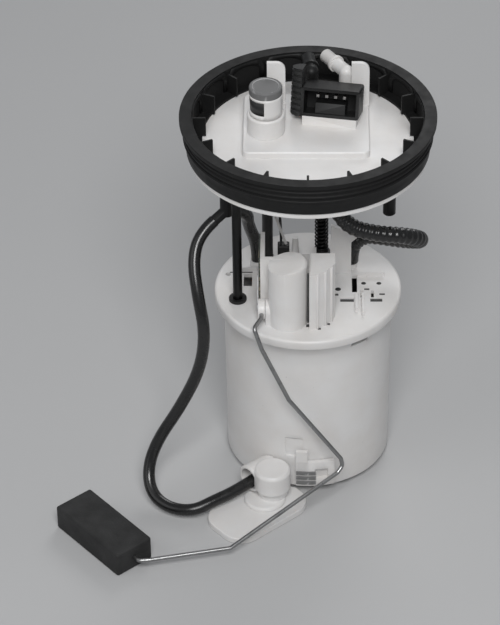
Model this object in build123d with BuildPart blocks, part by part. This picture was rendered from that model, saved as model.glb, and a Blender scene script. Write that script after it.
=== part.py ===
# Fuel pump module: a reservoir pot with an electric pump in it, a spring-lifted tank cover that
# slides on two guide rods, a level sender with its float arm, and a suction jet at the pot's foot.
# Millimetres, +Z up, origin on the pot's axis at the floor it stands on, the sender to the front (-Y).
import os
from math import cos, pi, radians, sin, sqrt, tan

from build123d import *

os.makedirs("parts", exist_ok=True)

# Clearances shared by all pieces
running = 0.05            # radial clearance of a pin or shaft that turns or slides in its hole
seat_gap = 0.05           # radial clearance of pieces pressed or snapped together
free_gap = 0.4            # clearance between pieces that pass each other

# Reservoir pot
pot_radius = 49.4         # outside, at the top of the straight wall
pot_foot_radius = 48.7    # outside, at the bottom
pot_wall = 2.0
pot_corner = 5.0
pot_floor = 2.5
foot_height = 2.0         # height of the foot ring and the centre pad under the floor
foot_ring_width = 8.0
foot_notch = 6.0
foot_pad_radius = 7.0
pot_height = 112.0
flare_height = 9.0        # the wall widens over this height below the rim
flare_radius = 53.2
latch_angle = 260.5       # square latch pocket low on the front
latch_width = 10.5
latch_height = 14.0
latch_bottom = 27.0
latch_depth = 1.0
snap_angles = [186.0, 306.0, 66.0]
snap_width = 12.0
snap_height = 3.0

# Lid
lid_radius = 55.0
lid_plate = 2.5
lid_edge = 5.5
lid_edge_width = 4.4
lid_edge_round = 1.6
lid_skirt_radius = 47.0
lid_skirt_wall = 1.6
lid_skirt_drop = 8.0
lid_top = pot_height + lid_edge
lid_under = lid_top - lid_plate

# Tank cover and its seal
cover_gap = 96.0          # from the lid to the cover when the spring holds the cover up
cover_travel = 35.0
cover_radius = 68.3
cover_rim = 3.5
cover_rise = 5.0
cover_hub_radius = 60.0
cover_plate = 3.0
plateau_rise = 4.0
plateau_min = (-37.0, -21.5)
plateau_max = (35.0, 40.0)
plateau_corner = 4.0
boss_drop = 4.0           # the bosses reach this far below the cover's rim
cover_bottom = lid_top + cover_gap
rim_top = cover_bottom + cover_rim
disc_top = rim_top + cover_rise
plateau_top = disc_top + plateau_rise
disc_under = disc_top - cover_plate
plateau_under = plateau_top - cover_plate
boss_bottom = cover_bottom - boss_drop

seal_height = 21.0
seal_radius = 73.0
seal_wall_radius = 70.8
seal_foot_radius = 69.4
seal_inner_radius = 66.0
seal_lip = 2.4
seal_base = 6.4
seal_rib_count = 16
seal_rib_width = 1.3
seal_rib_end_radius = 58.5
seal_rib_drop = 2.5       # the inner ribs end this far below the lip
seal_bead_radius = 0.8
seal_bead_drops = [6.0, 9.0, 12.0]
seal_top = rim_top + seal_height

# Guide rods and the lift spring
rod_radius = 2.75
rod_places = [(-41.0, -14.0), (8.1, 32.8)]
rod_socket_depth = 9.0
rod_boss_radius = 5.5
bush_radius = 4.0
bush_flange_radius = 5.2
bush_flange = 2.0
bush_length = 8.5         # below the lid's top face
rod_tail = 4.0            # the rod goes on this far below its clip
clip_radius = 3.3
clip_thickness = 1.4
clip_gap = 0.1
spring_wire_radius = 0.5
spring_radius = 3.6
spring_turns = 12
spring_end_gap = 0.3

# Vent tube through the lid
vent_tube_place = (-24.0, 31.0)
vent_tube_radius = 3.2
vent_tube_wall = 0.8
vent_tube_below_lid = 20.0
vent_tube_socket = 6.0

# Pump, upright on its own axis inside the pot
pump_place = (18.0, 10.0)
can_radius = 18.0
can_wall = 1.2
can_bottom = 15.0
can_length = 71.0
base_length = 8.0
base_stub_radius = 5.0
base_stub_length = 5.0
base_stub_wall = 1.8
base_stub_offset = 10.0   # behind the pump's axis
can_lip = 2.0             # width of the can's rolled-in lower edge
channel_depth = 1.2
brush_gap = 0.3
terminal_offset = (-9.0, 5.0)
terminal_size = (0.8, 4.0, 6.0)
poppet_cut = 0.9
sleeve_rise = 2.0         # from the holder's lower edge to the sleeve
impeller_radius = 15.6
impeller_width = 4.0
impeller_gap = 0.4
blade_count = 28
blade_slot = 1.6
blade_depth = 2.6
plate_length = 4.0
shaft_radius = 2.0
core_radius = 11.0
core_length = 34.0
core_slots = 8
core_slot = 2.0
commutator_radius = 6.5
commutator_length = 8.0
magnet_wall = 4.4
magnet_length = 38.0
magnet_gap = 5.5          # half the gap between the two magnets
brush_size = 4.0
cap_length = 9.0
outlet_offset = (7.0, 10.0)
outlet_radius = 4.2
outlet_bore = 1.9
outlet_rise = 12.0        # the outlet spigot over the cap
poppet_chamber = 2.9
poppet_radius = 2.6
poppet_length = 5.0
poppet_travel = 2.0
holder_wall = 1.4
holder_length = 66.0
holder_slots = 3
sleeve_length = 24.0
sleeve_wall = 1.6
strainer_length = 44.0
strainer_width = 24.0
strainer_height = 5.0

# Foot valve in the pot's floor
foot_valve_place = (-24.0, 14.0)
foot_valve_hole = 2.5
foot_valve_disc_radius = 8.0
foot_valve_disc = 1.2
foot_valve_travel = 1.5
foot_port_radius = 1.8
foot_port_circle = 5.0

# Suction jet at the foot. Along is measured outwards on the jet's axis, across to its right.
jet_angle = 221.3         # direction from the pot to the jet's open face, in plan
jet_face_along = 66.5
jet_across = 23.4
jet_height = 16.0
jet_radius = 8.7
jet_socket_radius = 6.6
jet_socket_depth = 6.0
jet_bore = 3.0
jet_nozzle_length = 9.0
mixing_radius = 4.4
mixing_bore = 2.4
mixing_length = 28.0
mixing_grip = 3.0         # the mixing tube reaches this far into the jet body
foot_plate = 4.0
foot_plate_width = 40.0
foot_plate_shift = 2.6    # the plate's middle lies this far right of the jet's axis
foot_plate_tip_along = 95.5
foot_plate_corner = 13.0
foot_boss_radius = 10.5
strap_thickness = 2.2
strap_bottom = 7.0
strap_height = 18.0
strap_angles = (262.0, 288.0)
strap_hook_angle = 266.0
strap_hook_width = 7.0
strap_hook_height = 8.0

# Level sender
tower_place = (-11.6, -34.0)
tower_radius = 11.2
tower_height = 42.5
tower_round = 2.0
column_height = 38.5
column_outline = [(0.8, -20.0), (0.8, -43.2), (5.5, -41.7), (10.0, -38.6), (13.5, -34.5), (15.7, -30.5), (15.7, -20.0)]
column_rib_radius = 0.9
bearing_face_x = -24.5    # left face of the tower's bearing boss
carrier_face_x = -27.5    # left face of the wall that carries the card
carrier_thickness = 2.5
carrier_front = -26.0
carrier_length = 27.0
card_thickness = 1.0
card_length = 24.0
card_height = 38.0
pivot_y = -33.0
pivot_z = 125.0
pivot_pin_radius = 1.6
pivot_pin_length = 6.5
hub_radius = 6.0
hub_width = 4.0
hub_gap = 0.3
hub_grip = 4.0            # length of the wire inside the hub
wiper_length = 20.0
wiper_width = 4.0
wiper_thickness = 0.5
wiper_angle = 62.0

# Float arm and float
wire_radius = 1.25
wire_bend = 3.0
wire_route = [
    (-26.8, -42.0, 125.0),
    (-31.0, -51.0, 124.5),
    (-26.5, -56.0, 113.0),
    (-11.0, -57.0, 76.7),
    (19.5, -58.0, 33.5),
    (20.5, -59.0, 29.0),
    (17.5, -62.0, 26.0),
    (-45.0, -109.0, 8.0),
    (-92.0, -119.5, 8.0),
]
wire_neck = 4.0           # straight length of wire before it enters the float
float_centre = (-119.6, -94.9)
float_angle = 130.9       # direction of the float's long side in plan
float_length = 58.5
float_width = 25.5
float_height = 16.0
float_round = 1.5
float_grip = 16.0

# Fittings under the cover
side_boss_radius = 4.8
side_plug_radius = 2.6    # plugs of the tee and the relief valve, up in their bosses
side_plug_length = 5.0
tee_place = (-47.0, 0.0)
tee_radius = 3.9
tee_length = 41.0
tee_leg = 9.5
tee_leg_radius = 3.2
tee_leg_bore = 1.6
tee_left_direction = (-0.75, -0.4, -0.53)
tee_right_direction = (0.6, 0.45, -0.66)
tee_left_rise = 3.5       # roots of the two legs over the tee's lower end
tee_right_rise = 7.5
outlet_place = (14.0, 6.0)
relief_place = (47.0, 0.0)
relief_radius = 3.7
relief_length = 40.0
relief_bore = 1.8
relief_bore_depth = 8.0
vent_boss_radius = 5.0
spigot_length = 4.0

# Hoses and leads. The routes are chosen points between the fittings.
hose_radius = 3.6
hose_approach_length = 16.0
hose_exit_length = 11.0   # straight stretch of a hose at each end
jet_hose_route = [
    (-66.5, -19.0, 150.0),
    (-63.5, -32.0, 133.0),
    (-59.5, -39.0, 112.0),
    (-63.0, -40.0, 86.0),
    (-75.5, -40.5, 58.0),
    (-89.5, -43.0, 35.0),
    (-95.5, -50.0, 19.0),
    (-93.0, -61.5, 9.0),
    (-82.5, -71.0, 6.0),
    (-67.0, -77.0, 9.5),
]
supply_hose_route = [
    (22.0, -4.0, 176.0),
    (42.0, -12.0, 168.0),
    (61.0, -8.5, 157.5),
    (68.0, 4.0, 147.0),
    (58.0, 15.0, 141.0),
    (42.0, 21.5, 139.5),
    (29.0, 21.5, 137.5),
]
return_hose_route = [(-35.5, 13.0, 154.0)]
lead_route = [(-18.5, 25.0, 170.0)]
lead_exit_length = 20.0
lead_spread = 1.4

# Fittings over the cover
bracket_y = 14.4
bracket_thickness = 2.4
bracket_outline = [(13.5, 0.0), (13.5, 34.5), (25.5, 28.0), (29.0, 26.0), (25.5, 22.5), (25.5, 0.0)]
vent_place = (-23.8, 1.4)
vent_radius = 8.8
vent_wall = 1.5
vent_height = 25.4
vent_cap = 2.2
vent_skirt = 3.0
vent_hole_circle = 4.0
vent_hole_radius = 1.2
vent_float_radius = 6.8
vent_float_length = 17.0
vent_float_travel = 3.0
vent_window_width = 8.6
vent_window_height = 10.0
vent_window_rise = 11.5
vent_window_angle = 242.0
guard_thickness = 2.4
guard_round = 5.0
guards = [((-18.0, 15.0), 10.4, 37.0), ((30.0, 28.2), 10.2, 28.5)]
socket_size = (33.4, 16.8, 17.4)
socket_wall = 1.8
socket_cavity = 13.0
socket_corner = 1.2
socket_place = (11.9, 4.7)
socket_rise = 6.0         # from the plateau to the socket's lower front edge
socket_yaw = 10.0
socket_tilt = 17.0
key_width = 17.0
key_height = 6.0
key_inset = 2.5
pin_pitch = 5.08
pin_count = 4
pin_size = 1.6
pin_up = 11.4
pin_root = 3.0            # length of the pins inside the socket's back wall
pin_length = 9.0
latch_block_width = 6.6
latch_block_rise = 2.0
latch_block_depth = 12.0
latch_groove = 1.2
latch_groove_count = 5
port_radius = 4.2
nipple_radius = 3.95      # for a quick connector
nipple_tip = 9.5          # straight length beyond the nipple's collar
collar_radius = 4.9
collar_width = 2.0
port_bore = 2.4
port_height = 19.0
supply_port = ((22.0, 33.0), 123.0, 21.5)
return_port = ((2.0, 33.5), 97.0, 15.0)
plug_place = (-14.5, 27.0)
plug_size = (7.0, 6.5, 11.0)
lead_radius = 0.8
lead_boss_place = (-14.0, 24.0)
lead_boss_radius = 4.5


def finish(builder, name):
    """Label a finished piece and write it to its own file."""
    builder.part.label = name
    export_step(builder.part, f"parts/{name}.step")


def level(place, height):
    """A level plane at a height, centred on a place in plan."""
    return Plane((place[0], place[1], height))


def facing(angle, distance, height):
    """An upright plane that faces away from the pot's axis: its X runs level and its Y runs up."""
    out = Vector(cos(radians(angle)), sin(radians(angle)), 0)
    side = Vector(-sin(radians(angle)), cos(radians(angle)), 0)
    return Plane(origin=out * distance + Vector(0, 0, height), x_dir=side, z_dir=out)


def corner_radii(points):
    """Radius of the arc at each corner: 0.45 of the shorter run over the tangent of half the turn."""
    radii = []
    places = [Vector(*point) for point in points]
    for before, corner, after in zip(places, places[1:], places[2:]):
        first = corner - before
        second = after - corner
        half_turn = radians(first.get_angle(second)) / 2
        radii.append(0.45 * min(first.length, second.length) / tan(half_turn))
    return radii


def hose_along(points, radius):
    """A round hose of straight runs joined by tangent arcs, with its length and tightest bends printed."""
    radii = corner_radii(points)
    with BuildPart() as hose:
        with BuildLine() as route:
            FilletPolyline(*points, radius=radii)
        with BuildSketch(Plane(origin=points[0], z_dir=Vector(*points[1]) - Vector(*points[0]))):
            Circle(radius)
        sweep(path=route.wires()[0])
    length = route.wires()[0].length
    ratio = hose.part.volume / (pi * radius**2 * length)
    print("length", round(length, 1), "radii", [round(r, 1) for r in radii], "volume ratio", round(ratio, 4))
    return hose


# Reservoir pot: a drafted cup with a flared rim, standing on a notched foot ring and a centre pad
floor_top = foot_height + pot_floor
ring_outer = pot_foot_radius - pot_corner
ring_inner = ring_outer - foot_ring_width
jet_plane = facing(jet_angle, 0, jet_height)
jet_origin = jet_plane.from_local_coords(Vector(jet_across, 0, 0))
jet_axis_plane = Plane(origin=jet_origin, x_dir=jet_plane.x_dir, z_dir=jet_plane.z_dir)

with BuildPart() as reservoir_pot:
    with BuildSketch(Plane.XZ):
        with BuildLine():
            Polyline(
                (0, 0),
                (foot_pad_radius, 0),
                (foot_pad_radius, foot_height),
                (ring_inner, foot_height),
                (ring_inner, 0),
                (ring_outer, 0),
                (pot_foot_radius, pot_corner),
                (pot_radius, pot_height - flare_height),
                (flare_radius, pot_height),
                (flare_radius - pot_wall, pot_height),
                (pot_radius - pot_wall, pot_height - flare_height),
                (pot_foot_radius - pot_wall, floor_top + pot_corner),
                (ring_outer, floor_top),
                (0, floor_top),
                close=True,
            )
        make_face()
    revolve(axis=Axis.Z)
    # notches let fuel in under the floor
    with BuildSketch(Plane.XY):
        with PolarLocations((ring_inner + ring_outer) / 2, 6):
            Rectangle(3 * foot_ring_width, foot_notch)
    extrude(amount=foot_height, mode=Mode.SUBTRACT)
    # stem hole and inlet ports of the foot valve
    with BuildSketch(level(foot_valve_place, foot_height)):
        Circle(foot_valve_hole)
        with PolarLocations(foot_port_circle, 6):
            Circle(foot_port_radius)
    extrude(amount=pot_floor, mode=Mode.SUBTRACT)
    # hole for the jet's mixing tube
    with BuildSketch(jet_axis_plane):
        Circle(mixing_radius + seat_gap)
    extrude(amount=jet_face_along, mode=Mode.SUBTRACT)
    # square latch pocket low on the front
    with BuildSketch(facing(latch_angle, pot_foot_radius - latch_depth, latch_bottom + latch_height / 2)):
        Rectangle(latch_width, latch_height)
    extrude(amount=pot_corner, mode=Mode.SUBTRACT)
    # snap windows under the lid's edge
    for angle in snap_angles:
        with BuildSketch(facing(angle, ring_outer, pot_height - flare_height / 2)):
            Rectangle(snap_width, snap_height)
        extrude(amount=lid_radius - ring_outer, mode=Mode.SUBTRACT)
finish(reservoir_pot, "reservoir_pot")

# Lid: a plate with an edge ring that sits on the pot's rim and a skirt inside it
pump_outlet = (pump_place[0] + outlet_offset[0], pump_place[1] + outlet_offset[1])
return_spigot_place = (-30.0, 21.0)
spigot_bore = outlet_bore
lid_slots = [
    ((27.4, 2.0), (3.0, 17.0)),
    ((22.9, -14.2), (8.0, 3.5)),
    ((31.5, -8.0), (1.6, 7.0)),
    ((37.8, -8.0), (1.6, 7.0)),
    ((40.0, -14.0), (7.0, 3.6)),
    ((-35.4, 5.6), (5.0, 12.0)),
]
lid_holes = [((17.7, -3.4), 1.8), ((32.8, 2.4), 1.5), ((41.8, 2.4), 1.5), ((-47.2, 11.5), 1.6)]
lid_ridges = [((37.3, 9.6), (15.4, 1.5)), ((28.4, -18.0), (1.6, 15.0)), ((32.2, -20.5), (1.3, 19.0)), ((-35.4, 14.6), (10.4, 1.3))]
lid_ridge_height = 3.0
peg_place = (-7.5, 25.0)
peg_height = 17.0
lid_block_place = (0.8, 20.0)
lid_block_size = (8.4, 7.0, 11.0)

with BuildPart() as reservoir_lid:
    with BuildSketch(Plane.XZ):
        with BuildLine():
            Polyline(
                (0, lid_under),
                (lid_skirt_radius - lid_skirt_wall, lid_under),
                (lid_skirt_radius - lid_skirt_wall, lid_under - lid_skirt_drop),
                (lid_skirt_radius, lid_under - lid_skirt_drop),
                (lid_skirt_radius, lid_under),
                (lid_radius - lid_edge_width, lid_under),
                (lid_radius - lid_edge_width, pot_height),
                (lid_radius, pot_height),
                (lid_radius, lid_top),
                (0, lid_top),
                close=True,
            )
        make_face()
    revolve(axis=Axis.Z)
    fillet(reservoir_lid.edges().filter_by(GeomType.CIRCLE).sort_by(SortBy.RADIUS)[-2:].sort_by(Axis.Z)[-1], lid_edge_round)
    # ridges, peg and block that stand on the plate
    with BuildSketch(Plane.XY.offset(lid_top)):
        for place, size in lid_ridges:
            with Locations(place):
                Rectangle(*size)
    extrude(amount=lid_ridge_height)
    with BuildSketch(level(peg_place, lid_top)):
        Circle(2.6)
    extrude(amount=peg_height, taper=3)
    with BuildSketch(level(lid_block_place, lid_top)):
        Rectangle(lid_block_size[0], lid_block_size[1])
    extrude(amount=lid_block_size[2])
    # spigots for the supply hose, down to the pump's outlet sleeve, and for the return hose
    with BuildSketch(Plane.XY.offset(lid_top)):
        with Locations(pump_outlet, return_spigot_place):
            Circle(outlet_radius)
    extrude(amount=spigot_length)
    with BuildSketch(Plane.XY.offset(lid_under)):
        with Locations(pump_outlet, return_spigot_place):
            Circle(outlet_radius)
    extrude(amount=-spigot_length)
    # bores, slots and holes through the plate
    with BuildSketch(Plane.XY.offset(lid_under - spigot_length)):
        with Locations(pump_outlet, return_spigot_place):
            Circle(spigot_bore)
    extrude(amount=lid_plate + 2 * spigot_length, mode=Mode.SUBTRACT)
    with BuildSketch(Plane.XY.offset(lid_under)):
        with Locations(*rod_places):
            Circle(bush_radius + seat_gap)
        with Locations(vent_tube_place):
            Circle(vent_tube_radius + free_gap)
        for place, size in lid_slots:
            with Locations(place):
                Rectangle(*size)
        for place, radius in lid_holes:
            with Locations(place):
                Circle(radius)
    extrude(amount=lid_plate, mode=Mode.SUBTRACT)
    # the skirt stops beside the guide bushes
    with BuildSketch(Plane.XY.offset(lid_under - lid_skirt_drop)):
        with Locations(*rod_places):
            Circle(bush_radius + free_gap)
    extrude(amount=lid_skirt_drop, mode=Mode.SUBTRACT)
finish(reservoir_lid, "reservoir_lid")

# Guide bushes in the lid: one flanged bush for each rod
bush_bottom = lid_top - bush_length
with BuildPart() as rod_bushes:
    for place in rod_places:
        with BuildSketch(level(place, bush_bottom)):
            Circle(bush_radius)
        extrude(amount=bush_length)
        with BuildSketch(level(place, lid_top)):
            Circle(bush_flange_radius)
        extrude(amount=bush_flange)
        with BuildSketch(level(place, bush_bottom)):
            Circle(rod_radius + running)
        extrude(amount=bush_length + bush_flange, mode=Mode.SUBTRACT)
finish(rod_bushes, "rod_bushes")

# Guide rods: pressed into the cover, running through the bushes into the pot
rod_top = boss_bottom + rod_socket_depth
clip_top = bush_bottom - clip_gap
rod_bottom = clip_top - clip_thickness - rod_tail
with BuildPart() as guide_rods:
    with BuildSketch(Plane.XY.offset(rod_bottom)):
        with Locations(*rod_places):
            Circle(rod_radius)
    extrude(amount=rod_top - rod_bottom)
    chamfer(guide_rods.edges().group_by(Axis.Z)[0], 0.6)
finish(guide_rods, "guide_rods")

# Retaining clips: split rings on the rods' lower ends that stop the cover's lift at the bushes
with BuildPart() as rod_clips:
    with BuildSketch(Plane.XY.offset(clip_top - clip_thickness)):
        with Locations(*rod_places):
            Circle(clip_radius)
            Circle(rod_radius + seat_gap, mode=Mode.SUBTRACT)
            with Locations((clip_radius, 0)):
                Rectangle(clip_radius, 1.5, mode=Mode.SUBTRACT)
    extrude(amount=clip_thickness)
finish(rod_clips, "rod_clips")

# Lift spring round the rear rod, between its bush and the cover's boss
spring_bottom = lid_top + bush_flange + spring_end_gap + spring_wire_radius
spring_length = boss_bottom - spring_end_gap - spring_wire_radius - spring_bottom
with BuildPart() as lift_spring:
    with BuildLine() as coil:
        Helix(
            pitch=spring_length / spring_turns,
            height=spring_length,
            radius=spring_radius,
            center=(rod_places[1][0], rod_places[1][1], spring_bottom),
        )
    with BuildSketch(Plane(origin=coil.edge() @ 0, z_dir=coil.edge() % 0)):
        Circle(spring_wire_radius)
    sweep(path=coil.edge(), is_frenet=True)
finish(lift_spring, "lift_spring")

# Vent tube: a rigid pipe from the cover down through the lid
with BuildPart() as vent_tube:
    with BuildSketch(level(vent_tube_place, lid_top - vent_tube_below_lid)):
        Circle(vent_tube_radius)
        Circle(vent_tube_radius - vent_tube_wall, mode=Mode.SUBTRACT)
    extrude(amount=boss_bottom + vent_tube_socket - lid_top + vent_tube_below_lid)
finish(vent_tube, "vent_tube")

# Pump: everything on the pump's own axis is made from these heights
can_top = can_bottom + can_length
can_inside = can_radius - can_wall
base_top = can_bottom + base_length
impeller_bottom = base_top + impeller_gap
plate_bottom = impeller_bottom + impeller_width + impeller_gap
plate_top = plate_bottom + plate_length
cap_bottom = can_top - 2.0
cap_top = cap_bottom + cap_length
commutator_top = cap_bottom - 1.0
commutator_bottom = commutator_top - commutator_length
core_top = commutator_bottom - 3.0
core_bottom = core_top - core_length
shaft_bottom = can_bottom + 3.0
shaft_top = cap_bottom + 4.0

# Pump can: a steel tube rolled in at its lower edge, where the base cover rests
with BuildPart() as pump_can:
    with BuildSketch(level(pump_place, can_bottom)):
        Circle(can_radius)
        Circle(can_inside, mode=Mode.SUBTRACT)
    extrude(amount=can_length)
    with BuildSketch(level(pump_place, can_bottom)):
        Circle(can_radius)
        Circle(can_inside - can_lip, mode=Mode.SUBTRACT)
    extrude(amount=-can_wall)
    fillet(pump_can.edges().group_by(Axis.Z)[0].sort_by(SortBy.RADIUS)[-1], 0.8)
    with BuildSketch(level(pump_place, can_bottom)):
        with Locations((0, base_stub_offset)):
            Circle(base_stub_radius + free_gap)
    extrude(amount=-can_wall, mode=Mode.SUBTRACT)
finish(pump_can, "pump_can")

# Pump base: the inlet cover, with its port, the lower bearing and the pumping channel round its face
with BuildPart() as pump_base:
    with BuildSketch(level(pump_place, can_bottom)):
        Circle(can_inside - seat_gap)
    extrude(amount=base_length)
    with BuildSketch(level(pump_place, can_bottom)):
        with Locations((0, base_stub_offset)):
            Circle(base_stub_radius)
    extrude(amount=-base_stub_length)
    with BuildSketch(level(pump_place, can_bottom - base_stub_length)):
        with Locations((0, base_stub_offset)):
            Circle(base_stub_radius - base_stub_wall)
    extrude(amount=base_stub_length + base_length, mode=Mode.SUBTRACT)
    with BuildSketch(level(pump_place, shaft_bottom - free_gap)):
        Circle(shaft_radius + running)
    extrude(amount=base_top, mode=Mode.SUBTRACT)
    with BuildSketch(level(pump_place, base_top - channel_depth)):
        Circle(impeller_radius)
        Circle(impeller_radius - blade_depth, mode=Mode.SUBTRACT)
    extrude(amount=channel_depth, mode=Mode.SUBTRACT)
finish(pump_base, "pump_base")

# Impeller: a disc with pumping slots round its rim
with BuildPart() as impeller:
    with BuildSketch(level(pump_place, impeller_bottom)):
        Circle(impeller_radius)
        Circle(shaft_radius + seat_gap, mode=Mode.SUBTRACT)
        with PolarLocations(impeller_radius, blade_count):
            Rectangle(2 * blade_depth, blade_slot, mode=Mode.SUBTRACT)
    extrude(amount=impeller_width)
finish(impeller, "impeller")

# Pump plate: closes the impeller's chamber and lets the fuel up past the armature
with BuildPart() as pump_plate:
    with BuildSketch(level(pump_place, plate_bottom)):
        Circle(can_inside - seat_gap)
        Circle(shaft_radius + running, mode=Mode.SUBTRACT)
        with Locations((0, -13.4)):
            Circle(1.8, mode=Mode.SUBTRACT)
    extrude(amount=plate_length)
finish(pump_plate, "pump_plate")

# Pump shaft
with BuildPart() as pump_shaft:
    with BuildSketch(level(pump_place, shaft_bottom)):
        Circle(shaft_radius)
    extrude(amount=shaft_top - shaft_bottom)
    chamfer(pump_shaft.edges().filter_by(GeomType.CIRCLE), 0.4)
finish(pump_shaft, "pump_shaft")

# Armature: the slotted core and the commutator above it, pressed on the shaft
with BuildPart() as armature:
    with BuildSketch(level(pump_place, core_bottom)):
        Circle(core_radius)
        with PolarLocations(core_radius, core_slots):
            Rectangle(5.0, core_slot, mode=Mode.SUBTRACT)
    extrude(amount=core_length)
    with BuildSketch(level(pump_place, core_top)):
        Circle(commutator_radius - 1.0)
    extrude(amount=commutator_bottom - core_top)
    with BuildSketch(level(pump_place, commutator_bottom)):
        Circle(commutator_radius)
        with PolarLocations(commutator_radius, core_slots):
            Rectangle(1.6, 0.6, mode=Mode.SUBTRACT)
    extrude(amount=commutator_length)
    with BuildSketch(level(pump_place, core_bottom)):
        Circle(shaft_radius + seat_gap)
    extrude(amount=commutator_top - core_bottom, mode=Mode.SUBTRACT)
finish(armature, "armature")

# Magnets: two curved segments against the can's inside
magnet_middle = (core_bottom + core_top) / 2
with BuildPart() as pump_magnets:
    with BuildSketch(level(pump_place, magnet_middle - magnet_length / 2)):
        Circle(can_inside - seat_gap)
        Circle(can_inside - magnet_wall, mode=Mode.SUBTRACT)
        Rectangle(2 * magnet_gap, 2 * can_radius, mode=Mode.SUBTRACT)
    extrude(amount=magnet_length)
finish(pump_magnets, "pump_magnets")

# Brushes: two carbon blocks on the commutator
with BuildPart() as pump_brushes:
    with BuildSketch(level(pump_place, commutator_bottom + 1.0)):
        with PolarLocations(commutator_radius + brush_gap + brush_size / 2, 2):
            Rectangle(brush_size, brush_size)
    extrude(amount=cap_bottom - commutator_bottom - 1.0)
finish(pump_brushes, "pump_brushes")

# Pump cap: upper bearing, outlet spigot with the check valve's chamber, and two terminals
outlet_top = cap_top + outlet_rise
poppet_seat = cap_top - 3.0
with BuildPart() as pump_cap:
    with BuildSketch(level(pump_place, cap_bottom)):
        Circle(can_inside - seat_gap)
    extrude(amount=cap_length)
    with BuildSketch(level(pump_outlet, cap_top)):
        Circle(outlet_radius)
    extrude(amount=outlet_rise)
    with BuildSketch(level(pump_place, cap_top)):
        with Locations((terminal_offset[0], -terminal_offset[1]), terminal_offset):
            Rectangle(terminal_size[0], terminal_size[1])
    extrude(amount=terminal_size[2])
    with BuildSketch(level(pump_place, cap_bottom)):
        Circle(shaft_radius + running)
    extrude(amount=shaft_top - cap_bottom + free_gap, mode=Mode.SUBTRACT)
    with BuildSketch(level(pump_outlet, cap_bottom)):
        Circle(outlet_bore)
    extrude(amount=cap_length + outlet_rise, mode=Mode.SUBTRACT)
    with BuildSketch(level(pump_outlet, poppet_seat)):
        Circle(poppet_chamber)
    extrude(amount=poppet_length + poppet_travel + free_gap, mode=Mode.SUBTRACT)
finish(pump_cap, "pump_cap")

# Check valve poppet: lifts off its seat in the outlet spigot
with BuildPart() as check_poppet:
    with BuildSketch(level(pump_outlet, poppet_seat)):
        Circle(poppet_radius)
    extrude(amount=poppet_length)
    chamfer(check_poppet.edges().group_by(Axis.Z)[-1], 0.6)
    with BuildSketch(level(pump_outlet, poppet_seat)):
        with PolarLocations(poppet_radius, 3):
            Circle(poppet_cut)
    extrude(amount=poppet_length, mode=Mode.SUBTRACT)
finish(check_poppet, "check_poppet")

# Outlet sleeve: a short rubber hose from the pump's spigot up to the lid's
with BuildPart() as outlet_sleeve:
    with BuildSketch(level(pump_outlet, outlet_top)):
        Circle(outlet_radius)
        Circle(outlet_bore, mode=Mode.SUBTRACT)
    extrude(amount=lid_under - spigot_length - outlet_top)
finish(outlet_sleeve, "outlet_sleeve")

# Pump holder: a slotted cup wall that hangs from the lid, with a rubber sleeve round the can
holder_inside = can_radius + seat_gap + sleeve_wall + seat_gap
with BuildPart() as pump_holder:
    with BuildSketch(level(pump_place, lid_under - holder_length)):
        Circle(holder_inside + holder_wall)
        Circle(holder_inside, mode=Mode.SUBTRACT)
    extrude(amount=holder_length)
    with BuildSketch(level(pump_place, lid_under - holder_length + 8.0)):
        with PolarLocations(holder_inside, holder_slots, start_angle=20):
            Rectangle(6.0, 12.0)
    extrude(amount=holder_length - 20.0, mode=Mode.SUBTRACT)
    with BuildSketch(level(rod_places[1], bush_bottom)):
        Circle(bush_radius + free_gap)
    extrude(amount=lid_under - bush_bottom, mode=Mode.SUBTRACT)
finish(pump_holder, "pump_holder")

# Pump sleeve: the rubber ring that holds the can in its holder
sleeve_bottom = lid_under - holder_length + sleeve_rise
with BuildPart() as pump_sleeve:
    with BuildSketch(level(pump_place, sleeve_bottom)):
        Circle(holder_inside - seat_gap)
        Circle(can_radius + seat_gap, mode=Mode.SUBTRACT)
    extrude(amount=sleeve_length)
finish(pump_sleeve, "pump_sleeve")

# Inlet strainer: a flat rounded sock under the pump's inlet port
strainer_top = can_bottom - base_stub_length
with BuildPart() as inlet_strainer:
    with BuildSketch(level(pump_place, strainer_top - strainer_height)):
        with Locations((-4.0, 4.0)):
            RectangleRounded(strainer_length, strainer_width, strainer_width / 2 - 1.0)
    extrude(amount=strainer_height)
    fillet(inlet_strainer.edges().group_by(Axis.Z)[-1], 1.5)
finish(inlet_strainer, "inlet_strainer")

# Foot valve: a rubber disc on the pot's floor with its stem down through the hole
with BuildPart() as foot_valve:
    with BuildSketch(level(foot_valve_place, floor_top)):
        Circle(foot_valve_disc_radius)
    extrude(amount=foot_valve_disc)
    with BuildSketch(level(foot_valve_place, floor_top)):
        Circle(foot_valve_hole - free_gap)
    extrude(amount=-pot_floor - 0.4)
finish(foot_valve, "foot_valve")

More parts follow.
